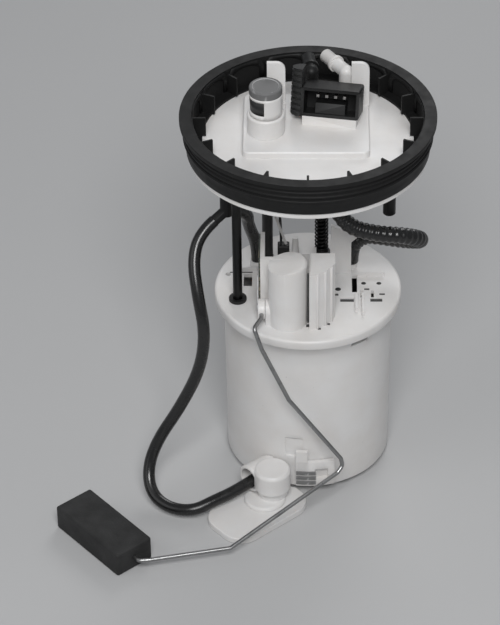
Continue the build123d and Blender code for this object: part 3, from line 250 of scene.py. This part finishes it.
jet_hose = cord_piece("jet_hose_tube", jet_route, hose_diameter, "jet_hose")
supply_hose = cord_piece(
    "supply_hose_tube", supply_route, supply_diameter, "supply_hose", supply_pitch
)
return_hose = cord_piece("return_hose_tube", return_route, hose_diameter, "return_hose")
lead_left = cord_piece("lead_left", dark_lead_route, lead_diameter, "pump_leads")
lead_right = cord_piece("lead_right", pale_lead_route, lead_diameter, None)


# Materials
class Nodes:
    """A short way to write a material's node tree."""

    def __init__(self, name):
        self.material = bpy.data.materials.new(name)
        self.material.use_nodes = True
        self.tree = self.material.node_tree
        self.shader = self.tree.nodes["Principled BSDF"]
        self.place = self.tree.nodes.new("ShaderNodeTexCoord").outputs["Object"]

    def add(self, kind, **inputs):
        node = self.tree.nodes.new(kind)
        for key, value in inputs.items():
            self.feed(node.inputs[key.replace("_", " ")], value)
        return node

    def feed(self, socket, value):
        if isinstance(value, bpy.types.NodeSocket):
            self.tree.links.new(value, socket)
        else:
            socket.default_value = value

    def noise(self, scale, detail=4.0, roughness=0.55):
        made = self.add(
            "ShaderNodeTexNoise", Scale=scale, Detail=detail, Roughness=roughness, Vector=self.place
        )
        return made.outputs["Fac"]

    def cells(self, scale):
        made = self.add("ShaderNodeTexVoronoi", Scale=scale, Vector=self.place)
        return made.outputs["Distance"]

    def stretched_noise(self, scale, stretch, detail=3.0):
        """Noise that is drawn out along some axes."""
        mapping = self.add("ShaderNodeMapping", Vector=self.place, Scale=stretch)
        made = self.add("ShaderNodeTexNoise", Scale=scale, Detail=detail, Vector=mapping.outputs["Vector"])
        return made.outputs["Fac"]

    def maths(self, operation, first, second=None):
        made = self.tree.nodes.new("ShaderNodeMath")
        made.operation = operation
        self.feed(made.inputs[0], first)
        if second is not None:
            self.feed(made.inputs[1], second)
        return made.outputs[0]

    def ramp(self, factor, low, high, low_value=0.0, high_value=1.0):
        made = self.tree.nodes.new("ShaderNodeMapRange")
        self.feed(made.inputs["Value"], factor)
        self.feed(made.inputs["From Min"], low)
        self.feed(made.inputs["From Max"], high)
        self.feed(made.inputs["To Min"], low_value)
        self.feed(made.inputs["To Max"], high_value)
        return made.outputs["Result"]

    def mix(self, factor, first, second):
        """One colour turning into another; the inputs are the factor and the two colours."""
        made = self.tree.nodes.new("ShaderNodeMix")
        made.data_type = "RGBA"
        self.feed(made.inputs[0], factor)
        self.feed(made.inputs[6], first)
        self.feed(made.inputs[7], second)
        return made.outputs[2]

    def bump(self, height, depth, strength=1.0, under=None):
        made = self.add("ShaderNodeBump", Strength=strength, Distance=depth, Height=height)
        if under is not None:
            self.feed(made.inputs["Normal"], under)
        return made.outputs["Normal"]

    def edge_wear(self, low, high):
        """1 along convex edges, 0 elsewhere."""
        geometry = self.tree.nodes.new("ShaderNodeNewGeometry")
        return self.ramp(geometry.outputs["Pointiness"], low, high)

    def finish(self, **inputs):
        for key, value in inputs.items():
            self.feed(self.shader.inputs[key.replace("_", " ")], value)
        return self.material


def grey(value, warmth=0.0):
    return (value * (1 + warmth), value, value * (1 - warmth), 1.0)


def white_plastic(name, value, grime):
    """Natural moulded plastic: slightly cream, a little translucent, with handling marks."""
    n = Nodes(name)
    cloud = n.ramp(n.noise(38.0), 0.35, 0.7)
    colour = n.mix(cloud, grey(value, 0.012), grey(value * 0.93, 0.03))
    stain = n.ramp(n.noise(14.0, 6.0, 0.65), 0.55, 0.8, 0.0, grime)
    colour = n.mix(stain, colour, grey(value * 0.6, 0.08))
    specks = n.ramp(n.noise(620.0, 2.0), 0.72, 0.8, 0.0, 0.35)
    colour = n.mix(specks, colour, grey(value * 0.5, 0.05))
    rough = n.ramp(n.noise(90.0), 0.3, 0.75, 0.33, 0.5)
    flow = n.bump(n.stretched_noise(60.0, (1.0, 1.0, 0.25)), 0.00012, 0.5)
    grain = n.bump(n.noise(2600.0, 2.0), 0.00002, 0.6, flow)
    return n.finish(
        Base_Color=colour,
        Roughness=rough,
        Normal=grain,
        Subsurface_Weight=0.12,
        Subsurface_Radius=(1.0, 0.9, 0.8),
        Subsurface_Scale=0.0015,
        IOR=1.5,
    )


def dark_rubber(name, value, rough_low, rough_high, dust_and_sheen, shine):
    """Moulded rubber with a dusty bloom, whose lighter patches are also a painted sheen."""
    n = Nodes(name)
    # lighter patches: dust, and a painted sheen
    dust_and_sheen_mask = n.ramp(n.noise(55.0, 6.0, 0.7), 0.45, 0.75, 0.0, dust_and_sheen)
    colour = n.mix(dust_and_sheen_mask, grey(value), grey(value * 3.2, 0.02))
    rough = n.ramp(n.noise(130.0), 0.3, 0.7, rough_low, rough_high)
    skin = n.bump(n.noise(900.0, 4.0), 0.00004, 0.7)
    wave = n.bump(n.noise(120.0, 2.0), 0.0002, 0.35, skin)
    return n.finish(Base_Color=colour, Roughness=rough, Normal=wave, Specular_IOR_Level=shine)


def dark_plastic(name, value, rough):
    """Hard moulded plastic with scuffs and worn edges."""
    n = Nodes(name)
    scuff = n.ramp(n.stretched_noise(240.0, (1.0, 0.3, 2.2), 5.0), 0.62, 0.75, 0.0, 0.5)
    colour = n.mix(scuff, grey(value), grey(value * 2.6))
    colour = n.mix(n.edge_wear(0.53, 0.6), colour, grey(value * 3.0))
    wear = n.ramp(n.noise(70.0), 0.3, 0.75, rough - 0.06, rough + 0.14)
    grain = n.bump(n.noise(1800.0, 3.0), 0.00003, 0.6)
    return n.finish(Base_Color=colour, Roughness=wear, Normal=grain, Specular_IOR_Level=0.3)


def metal(name, value, rough, stretch, tint=0.0):
    """Drawn or brushed metal with faint lines and a few dull patches."""
    n = Nodes(name)
    dull = n.ramp(n.noise(160.0, 5.0), 0.5, 0.75, 0.0, 0.6)
    colour = n.mix(dull, grey(value, tint), grey(value * 0.55, tint))
    lines = n.stretched_noise(900.0, stretch)
    wear = n.ramp(lines, 0.3, 0.7, rough - 0.07, rough + 0.1)
    drawn = n.bump(lines, 0.00001, 0.6)
    return n.finish(Base_Color=colour, Metallic=1.0, Roughness=wear, Normal=drawn)


def foam(name):
    """Closed-cell foam: matte, finely pitted."""
    n = Nodes(name)
    colour = n.mix(n.ramp(n.noise(80.0, 5.0), 0.4, 0.75), grey(0.012), grey(0.028))
    pits = n.bump(n.cells(1500.0), 0.00012, 0.8)
    swell = n.bump(n.noise(60.0, 2.0), 0.0004, 0.4, pits)
    return n.finish(Base_Color=colour, Roughness=0.72, Normal=swell)


def mesh_cloth(name):
    """Fine woven strainer mesh."""
    weave_rate = 9000.0       # radians in each metre
    n = Nodes(name)
    separate = n.tree.nodes.new("ShaderNodeSeparateXYZ")
    n.feed(separate.inputs[0], n.place)
    waves = [n.maths("SINE", n.maths("MULTIPLY", separate.outputs[axis], weave_rate)) for axis in "XY"]
    weave = n.maths("MULTIPLY", *waves)
    colour = n.mix(n.ramp(weave, -0.6, 0.6), grey(0.55, 0.04), grey(0.78, 0.03))
    return n.finish(Base_Color=colour, Roughness=0.7, Normal=n.bump(weave, 0.0001, 0.7))


def card_face(name):
    """Resistor card: dark substrate with fine conductor bars."""
    n = Nodes(name)
    bars = n.stretched_noise(700.0, (1.0, 0.08, 1.0), 1.0)
    colour = n.mix(n.ramp(bars, 0.55, 0.6), (0.05, 0.06, 0.05, 1.0), (0.25, 0.22, 0.16, 1.0))
    return n.finish(Base_Color=colour, Roughness=n.ramp(bars, 0.4, 0.7, 0.35, 0.55))


white = white_plastic("white_plastic", 0.74, 0.25)
cover_white = white_plastic("cover_white", 0.8, 0.18)
seal_rubber = dark_rubber("seal_rubber", 0.010, 0.45, 0.6, 0.18, 0.22)
hose_rubber = dark_rubber("hose_rubber", 0.008, 0.2, 0.34, 0.2, 0.6)
soft_rubber = dark_rubber("soft_rubber", 0.016, 0.45, 0.6, 0.3, 0.3)
black = dark_plastic("black_plastic", 0.010, 0.42)
dark_grey = dark_plastic("dark_grey_plastic", 0.02, 0.45)
mid_grey = dark_plastic("mid_grey_plastic", 0.17, 0.5)
wire_steel = metal("wire_steel", 0.34, 0.34, (1.0, 1.0, 0.2))
rod_steel = metal("rod_steel", 0.035, 0.4, (1.0, 1.0, 0.1))
can_steel = metal("can_steel", 0.68, 0.32, (1.0, 1.0, 0.15))
core_steel = metal("core_steel", 0.34, 0.42, (1.0, 1.0, 6.0), 0.04)
tinned = metal("tinned_pins", 0.78, 0.25, (1.0, 1.0, 1.0), 0.05)
magnet_grey = dark_plastic("magnet_grey", 0.06, 0.6)
float_foam = foam("float_foam")
strainer_mesh = mesh_cloth("strainer_mesh")
card_material = card_face("card_face")

finishes = {
    white: "reservoir_pot reservoir_lid sender_tower ribbed_column hose_bracket pump_holder mixing_tube "
    "jet_body pickup_foot foot_strap supply_port arm_hub",
    cover_white: "tank_cover",
    seal_rubber: "seal_ring",
    soft_rubber: "pump_sleeve outlet_sleeve foot_valve",
    float_foam: "level_float",
    black: "rod_bushes pump_plug jet_tee relief_valve connector_socket return_port vent_float pump_cap "
    "pump_base pump_plate impeller jet_nozzle check_poppet",
    dark_grey: "socket_latch vent_tube",
    mid_grey: "vent_cap",
    rod_steel: "guide_rods rod_clips lift_spring",
    can_steel: "pump_can pump_shaft wiper",
    wire_steel: "float_arm",
    core_steel: "armature",
    tinned: "connector_pins",
    magnet_grey: "pump_magnets pump_brushes",
    card_material: "sender_card",
    strainer_mesh: "inlet_strainer",
}


def dress(piece, material):
    """Give a piece one material in all its slots."""
    piece.data.materials.clear()
    piece.data.materials.append(material)


for material, names in finishes.items():
    for name in names.split():
        dress(nodes[name], material)
for piece in (jet_hose, supply_hose, return_hose):
    dress(piece, hose_rubber)
dress(lead_left, dark_grey)
dress(lead_right, white)


# Lift spring: a fine coil with closed turns at each end
spring_place = (8.1, 32.8)
spring_low = 119.5
spring_high = 209.5
spring_radius = 3.6
spring_wire_radius = 0.55
spring_turns = 32
spring_closed_turns = 1.5     # at each end


def coil(name, place, low, high, radius, wire, turns, closed):
    """A wire coil on an upright axis, with closed turns at both ends."""
    curve = bpy.data.curves.new(name, "CURVE")
    curve.dimensions = "3D"
    curve.bevel_depth = wire * MM
    curve.bevel_resolution = 3
    curve.use_fill_caps = True
    steps = 24
    count = int((turns + 2 * closed) * steps)
    spline = curve.splines.new("POLY")
    spline.points.add(count)
    lift = 2 * wire
    open_height = high - low - 2 * wire - 2 * closed * lift
    for index, control in enumerate(spline.points):
        turn = index / steps
        if turn < closed:
            height = turn * lift
        elif turn < closed + turns:
            height = closed * lift + (turn - closed) / turns * open_height
        else:
            height = closed * lift + open_height + (turn - closed - turns) * lift
        angle = 2 * math.pi * turn
        x = place[0] + radius * math.cos(angle)
        y = place[1] + radius * math.sin(angle)
        control.co = (x * MM, y * MM, (low + wire + height) * MM, 1.0)
    mesh = mesh_of(bpy.data.objects.new(name + "_line", curve))
    mesh.name = name
    return smooth_object(name, mesh)


spring = coil(
    "lift_spring_coil",
    spring_place,
    spring_low,
    spring_high,
    spring_radius,
    spring_wire_radius,
    spring_turns,
    spring_closed_turns,
)
dress(spring, rod_steel)
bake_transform(spring)
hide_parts("lift_spring")


# Ways to make the finer pieces
def round_place(radius, angle, height):
    """A place at a radius, an angle in radians and a height."""
    return Vector((radius * math.cos(angle), radius * math.sin(angle), height))


def turned(shape, profile, matrix=Matrix(), steps=64):
    """Add a solid turned about the matrix's Z axis from a closed outline of radius and height."""
    rings = []
    for step in range(steps):
        angle = 2 * math.pi * step / steps
        places = [round_place(radius, angle, height) for radius, height in profile]
        rings.append([shape.verts.new(matrix @ place) for place in places])
    for first, second in zip(rings, rings[1:] + rings[:1]):
        for index in range(len(profile)):
            after = (index + 1) % len(profile)
            if profile[index][0] or profile[after][0]:
                shape.faces.new((first[index], second[index], second[after], first[after]))
    bmesh.ops.remove_doubles(shape, verts=shape.verts, dist=0.0001)


def prism(shape, outline, low, high, matrix=Matrix()):
    """Add an upright solid from an outline in plan."""
    bottom = [shape.verts.new(matrix @ Vector((x, y, low))) for x, y in outline]
    top = [shape.verts.new(matrix @ Vector((x, y, high))) for x, y in outline]
    shape.faces.new(bottom[::-1])
    shape.faces.new(top)
    for index in range(len(outline)):
        after = (index + 1) % len(outline)
        shape.faces.new((bottom[index], bottom[after], top[after], top[index]))


def block_outline(x, y, wide, deep):
    """Outline of a rectangle round a place."""
    half_wide, half_deep = wide / 2, deep / 2
    return [
        (x - half_wide, y - half_deep),
        (x + half_wide, y - half_deep),
        (x + half_wide, y + half_deep),
        (x - half_wide, y + half_deep),
    ]


def rounded(x_low, x_high, y_low, y_high, radius, step=1.5):
    """Outline of a rectangle with round corners, with points close together."""
    corner_steps = 8
    corners = [
        (x_high - radius, y_high - radius, 0.0),
        (x_low + radius, y_high - radius, 90.0),
        (x_low + radius, y_low + radius, 180.0),
        (x_high - radius, y_low + radius, 270.0),
    ]
    points = []
    for x, y, start in corners:
        for turn in range(corner_steps + 1):
            angle = math.radians(start + turn * 90.0 / corner_steps)
            points.append(Vector((x + radius * math.cos(angle), y + radius * math.sin(angle))))
    dense = []
    for first, second in zip(points, points[1:] + points[:1]):
        count = max(1, round((second - first).length / step))
        dense += [first.lerp(second, index / count) for index in range(count)]
    return [tuple(point) for point in dense]


def cut_away(shape, place, normal):
    """Take away what lies beyond a plane, and close the cut."""
    everything = shape.verts[:] + shape.edges[:] + shape.faces[:]
    made = bmesh.ops.bisect_plane(shape, geom=everything, plane_co=place, plane_no=normal, clear_outer=True)
    rim = [item for item in made["geom_cut"] if isinstance(item, bmesh.types.BMEdge)]
    bmesh.ops.triangle_fill(shape, edges=rim, use_beauty=True)


def made_piece(name, shape, body, material, bevel=0.0, scale=MM):
    """Turn a shape into a piece that rides on a body."""
    sharp_angle = math.radians(35)
    mesh = mesh_from(name, shape, scale)
    piece = smooth_object(name, mesh)
    mesh.set_sharp_from_angle(angle=sharp_angle)
    if bevel:
        rounding = piece.modifiers.new("bevel", "BEVEL")
        rounding.width = bevel * MM
        rounding.segments = 3
        rounding.limit_method = "ANGLE"
        rounding.angle_limit = sharp_angle
    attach(piece, body)
    dress(piece, material)
    return piece


def thicken(piece, thickness, offset=-1.0):
    """Turn a piece that is a bare sheet into a wall, inwards unless the offset is 1."""
    wall = piece.modifiers.new("wall", "SOLIDIFY")
    wall.thickness = thickness * MM
    wall.offset = offset


# Foot: a plate with a round flange, and the jet housing with its mouth for the hose and its upright drum.
# Along is measured outwards on the jet's axis, and across at right angles to it.
pot_clear = 49.6          # radius that clears the pot's wall
jet_turn = Matrix.Rotation(math.radians(221.3), 4, "Z")
plate_along = (38.0, 97.6)
plate_across = (13.5, 49.8)
plate_corner = 13.0
plate_top = 4.0
flange_along, flange_across = 58.8, 28.2
flange_radius, flange_top = 12.6, 6.4
mouth_along, mouth_across, mouth_height = 63.4, 18.8, 15.8
mouth_depth = 6.0
barrel_length = 18.0
barrel_radius = 8.7
drum_along, drum_across = 53.4, 28.9
drum_radius, drum_top = 10.8, 25.2


def clear_of_pot(x, y):
    """A place in plan, moved outwards to the pot's wall where it lies inside it."""
    distance = math.hypot(x, y)
    if distance >= pot_clear:
        return x, y
    return x * pot_clear / distance, y * pot_clear / distance


plate_outline = [clear_of_pot(x, y) for x, y in rounded(*plate_along, *plate_across, plate_corner)]
flange_profile = [
    (0.0, plate_top - 0.1),
    (flange_radius, plate_top - 0.1),
    (flange_radius - 0.2, flange_top - 0.8),
    (flange_radius - 1.0, flange_top),
    (0.0, flange_top),
]
plate = bmesh.new()
prism(plate, plate_outline, 0.0, plate_top, jet_turn)
turned(plate, flange_profile, jet_turn @ Matrix.Translation((flange_along, flange_across, 0.0)))
foot_plate = made_piece("foot_plate", plate, "reservoir", white, 0.7)
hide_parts("pickup_foot")

mouth_profile = [
    (0.0, 0.0),
    (barrel_radius, 0.0),
    (barrel_radius, barrel_length - 0.8),
    (barrel_radius - 0.8, barrel_length),
    (6.6, barrel_length),
    (6.4, barrel_length - mouth_depth),
    (0.0, barrel_length - mouth_depth),
]
drum_profile = [
    (0.0, 5.0),
    (8.6, 5.0),
    (8.9, 9.0),
    (drum_radius, 12.0),
    (drum_radius, drum_top - 1.6),
    (drum_radius - 1.2, drum_top),
    (0.0, drum_top),
]
housing = bmesh.new()
barrel_start = Matrix.Translation((mouth_along - barrel_length, mouth_across, mouth_height))
turned(housing, mouth_profile, jet_turn @ barrel_start @ Matrix.Rotation(math.pi / 2, 4, "Y"))
turned(housing, drum_profile, jet_turn @ Matrix.Translation((drum_along, drum_across, 0.0)))
for vertex in housing.verts:
    vertex.co.x, vertex.co.y = clear_of_pot(vertex.co.x, vertex.co.y)
jet_housing = made_piece("jet_housing", housing, "reservoir", white)
remesh = jet_housing.modifiers.new("fused", "REMESH")
remesh.mode = "VOXEL"
remesh.voxel_size = 0.45 * MM
remesh.use_smooth_shade = True
soften = jet_housing.modifiers.new("soften", "SMOOTH")
soften.iterations = 4
soften.factor = 0.5
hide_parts("jet_body", "jet_nozzle")


# Sender tower: as packed, with its top falling away to the left from its right edge
slope_start = (-0.4 * MM, 0.0, 160.3 * MM)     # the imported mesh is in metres
slope_normal = (-0.18, 0.0, 0.984)
tower = bmesh.new()
tower.from_mesh(nodes["sender_tower"].data)
bmesh.ops.remove_doubles(tower, verts=tower.verts, dist=0.002 * MM)
cut_away(tower, slope_start, slope_normal)
sloped_tower = made_piece("sloped_tower", tower, "reservoir", white, 0.5, 1.0)
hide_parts("sender_tower")


# Vent tower: a wider stage at its foot with a web, a sleeve with a window, a black sheet behind the window as
# painted shade, and a thick cap
plateau = 226.0
vent = Vector((-23.8, 1.4, 0.0))
stage_inside, stage_radius = 8.75, 10.8
stage_top = plateau + 12.0
sleeve_radius = 9.4
sleeve_wall = 0.5
sleeve_sides = 72
sleeve_levels = [237.9, 241.0, 249.7, 251.4]
window_low = sleeve_levels[1]
window_sides = range(37, 53)
shade_sheet_radius = 8.88
shade_sheet_wall = 0.06
shade_sheet_low, shade_sheet_high = 240.6, 250.1
cap_low, cap_rim = 251.45, 256.0

stage_profile = [
    (stage_inside, plateau),
    (stage_radius, plateau),
    (stage_radius, stage_top - 0.8),
    (stage_radius - 0.7, stage_top),
    (stage_inside, stage_top),
]
stage = bmesh.new()
turned(stage, stage_profile, Matrix.Translation(vent))
prism(stage, rounded(-23.2, -12.8, 11.0, 13.7, 0.4), plateau, stage_top)
made_piece("vent_stage", stage, "cover", cover_white, 0.3)


def wall_face(shape, radius, side, low, high):
    """Add one of the faces that make up the vent tower's round wall."""
    corners = []
    for edge, height in ((side, low), (side + 1, low), (side + 1, high), (side, high)):
        angle = 2 * math.pi * edge / sleeve_sides
        corners.append(shape.verts.new(vent + round_place(radius, angle, height)))
    shape.faces.new(corners)


sleeve = bmesh.new()
for side in range(sleeve_sides):
    for low, high in zip(sleeve_levels, sleeve_levels[1:]):
        if side in window_sides and low == window_low:
            continue
        wall_face(sleeve, sleeve_radius, side, low, high)
bmesh.ops.remove_doubles(sleeve, verts=sleeve.verts, dist=0.001)
vent_sleeve = made_piece("vent_sleeve", sleeve, "cover", cover_white)
thicken(vent_sleeve, sleeve_wall)

# A black sheet just inside the window: painted shade for the dark inside of the tower
shade_sheet = bmesh.new()
for side in window_sides:
    wall_face(shade_sheet, shade_sheet_radius, side, shade_sheet_low, shade_sheet_high)
bmesh.ops.remove_doubles(shade_sheet, verts=shade_sheet.verts, dist=0.001)
vent_painted_shade = made_piece("vent_painted_shade", shade_sheet, "cover", black)
thicken(vent_painted_shade, shade_sheet_wall)

cap_profile = [
    (0.0, cap_low),
    (9.45, cap_low),
    (9.45, cap_rim - 0.6),
    (8.9, cap_rim),
    (7.6, cap_rim),
    (7.4, cap_rim - 0.4),
    (0.0, cap_rim - 0.4),
]
cap = bmesh.new()
turned(cap, cap_profile, Matrix.Translation(vent))
vent_top = made_piece("vent_top", cap, "cover", mid_grey, 0.25)
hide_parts("vent_cap")


# Socket latch: a grooved half-round drum on the socket's left side
socket_across = Vector((0.98481, -0.17365, 0.0))
socket_out = Vector((-0.16606, -0.94178, 0.29237))
socket_up = socket_out.cross(socket_across)
socket_base = Vector((11.9, 4.7, 232.0))
latch_left, latch_down, latch_behind = 16.75, 1.0, 7.5     # from the socket's base, just clear of its side
latch_length = 27.6
latch_pitch = 3.3
latch_grooves = 8
latch_frame = Matrix((socket_across, -socket_out, socket_up)).transposed().to_4x4()
latch_place = socket_base - socket_across * latch_left - socket_up * latch_down - socket_out * latch_behind
latch_frame.translation = latch_place
latch_profile = [(0.0, 0.0), (6.2, 0.0)]
for groove in range(latch_grooves):
    base = 1.0 + groove * latch_pitch
    latch_profile += [(6.8, base), (6.8, base + 2.0), (5.9, base + 2.3), (5.9, base + 3.0)]
latch_profile += [(6.6, latch_length), (0.0, latch_length)]
latch = bmesh.new()
turned(latch, latch_profile)
cut_away(latch, (0.0, 0.0, 0.0), (1.0, 0.0, 0.0))
bmesh.ops.transform(latch, matrix=latch_frame, verts=latch.verts)
latch_drum = made_piece("latch_drum", latch, "cover", black, 0.2)
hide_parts("socket_latch")


# Lid shade: dark blocks and discs that paint the shade of the lid's gaps and recesses.
# A block has its middle, width, depth and rise over the lid, and a disc its middle and radius.
lid_top = 117.5
slit_height = 35.0
shade_blocks = [
    (22.9, -14.2, 7.9, 3.4, -0.7),
    (40.0, -14.0, 6.9, 3.5, -0.7),
    (0.2, -39.2, 2.4, 2.6, 0.12),
    (6.6, -42.1, 1.8, 1.6, 0.12),
    (12.0, -37.6, 1.6, 1.6, 0.12),
    (-39.5, 13.2, 13.5, 0.9, 0.12),
    (16.6, -9.0, 2.6, 1.8, 0.12),
    (34.6, -3.6, 3.0, 1.4, 0.12),
    (43.5, -8.5, 3.2, 1.3, 0.12),
]
shade_discs = [(32.8, 2.4, 1.4), (41.8, 2.4, 1.4), (17.7, -3.4, 1.7)]
lid_shade_pieces = bmesh.new()
for x, y, wide, deep, rise in shade_blocks:
    prism(lid_shade_pieces, block_outline(x, y, wide, deep), lid_top - 1.2, lid_top + rise)
for x, y, radius in shade_discs:
    low, high = lid_top - 1.0, lid_top - 0.1
    disc_profile = [(0.0, low), (radius, low), (radius, high), (0.0, high)]
    turned(lid_shade_pieces, disc_profile, Matrix.Translation((x, y, 0.0)), steps=24)
# a dark upright plate beside the sender tower, painted shade of a slit
prism(lid_shade_pieces, block_outline(0.15, -36.0, 0.9, 1.0), lid_top - 0.05, lid_top + slit_height)
made_piece("lid_painted_shade", lid_shade_pieces, "reservoir", dark_grey, 0.05)


# Strap pad: three slats on the clip at the pot's foot, their mid grey a painted shade for the shadowed gap
# there
pad_inner, pad_outer = 51.6, 52.4
pad_start, pad_step, pad_points = 262.2, 1.1, 13     # degrees
slats = 3
slat_height, slat_pitch, slat_low = 2.5, 3.6, 8.4
pad_angles = [math.radians(pad_start + step * pad_step) for step in range(pad_points)]
pad_outline = [(pad_outer * math.cos(angle), pad_outer * math.sin(angle)) for angle in pad_angles]
pad_outline += [(pad_inner * math.cos(angle), pad_inner * math.sin(angle)) for angle in reversed(pad_angles)]
gap_shade = bmesh.new()
for slat in range(slats):
    base = slat_low + slat * slat_pitch
    prism(gap_shade, pad_outline, base, base + slat_height)
made_piece("strap_gap_shade", gap_shade, "reservoir", mid_grey, 0.2)


# Seal ring: a liner with an arched pocket between each pair of ribs. Outlines in degrees and heights.
liner_low, liner_high, liner_radius = 224.3, 237.2, 65.3
liner_wall = 0.7
bays = 16
bay = 360.0 / bays
arch_half, arch_foot, arch_rise = 8.2, 231.5, 3.6
crown = range(20, 180, 20)
arch = [(-arch_half, liner_low), (-arch_half, arch_foot)]
for turn in crown:
    angle = math.radians(turn)
    arch.append((-arch_half * math.cos(angle), arch_foot + arch_rise * math.sin(angle)))
arch += [(arch_half, arch_foot), (arch_half, liner_low)]
edge = [(-bay / 2, liner_low), (-bay / 2, arch_foot)]
edge += [(-bay / 2 + bay * turn / 180, liner_high) for turn in crown]
edge += [(bay / 2, arch_foot), (bay / 2, liner_low)]


def on_liner(shape, middle, outline):
    """Vertices on the ring's inner wall, from turns about a bay's middle and heights."""
    return [
        shape.verts.new(round_place(liner_radius, math.radians(middle + turn), height))
        for turn, height in outline
    ]


liner = bmesh.new()
for index in range(bays):
    middle = (index + 0.5) * bay
    arch_points = on_liner(liner, middle, arch)
    edge_points = on_liner(liner, middle, edge)
    for step in range(len(arch) - 1):
        liner.faces.new((edge_points[step], edge_points[step + 1], arch_points[step + 1], arch_points[step]))
bmesh.ops.remove_doubles(liner, verts=liner.verts, dist=0.001)
ring_liner = made_piece("ring_liner", liner, "cover", seal_rubber)
thicken(ring_liner, liner_wall, 1.0)


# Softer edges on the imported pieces
left_sharp = "connector_pins pump_leads jet_hose supply_hose return_hose lift_spring float_arm"
for name, node in nodes.items():
    if name in left_sharp.split():
        continue
    weld = node.modifiers.new("weld", "WELD")
    weld.merge_threshold = 0.002 * MM
    bevel = node.modifiers.new("bevel", "BEVEL")
    bevel.width = 0.25 * MM
    bevel.segments = 2
    bevel.limit_method = "ANGLE"
    bevel.angle_limit = math.radians(40)
    bevel.harden_normals = False


# Floor, lamps and world
floor_shape = bmesh.new()
bmesh.ops.create_grid(floor_shape, x_segments=2, y_segments=2, size=6.0)
floor_mesh = bpy.data.meshes.new("floor")
floor_shape.to_mesh(floor_mesh)
floor_shape.free()
floor = bpy.data.objects.new("floor", floor_mesh)
scene.collection.objects.link(floor)
floor_nodes = Nodes("floor_paper")
floor_colour = floor_nodes.mix(floor_nodes.noise(3.0), grey(0.48, -0.004), grey(0.52, 0.0))
dress(floor, floor_nodes.finish(Base_Color=floor_colour, Roughness=0.85))
floor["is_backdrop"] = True

world = bpy.data.worlds.new("world")
scene.world = world
world.use_nodes = True
background = world.node_tree.nodes["Background"]
background.inputs["Color"].default_value = (0.92, 0.95, 1.0, 1.0)
background.inputs["Strength"].default_value = 0.24


def lamp(name, place, target, size, power):
    """A round area lamp that looks at the target."""
    data = bpy.data.lights.new(name, "AREA")
    data.shape = "DISK"
    data.size = size
    data.energy = power
    made = bpy.data.objects.new(name, data)
    scene.collection.objects.link(made)
    made.location = place
    made.rotation_mode = "QUATERNION"
    made.rotation_quaternion = (Vector(target) - Vector(place)).to_track_quat("-Z", "Y")


lamp("key", (0.05, -1.25, 1.5), (0, 0, 0.1), 0.8, 21.0)
lamp("fill", (-1.3, -0.6, 0.9), (0, 0, 0.12), 1.2, 2.5)
lamp("rim", (0.3, 1.2, 1.1), (0, 0, 0.15), 0.8, 5.0)

scene.view_settings.view_transform = "Standard"

low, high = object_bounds()
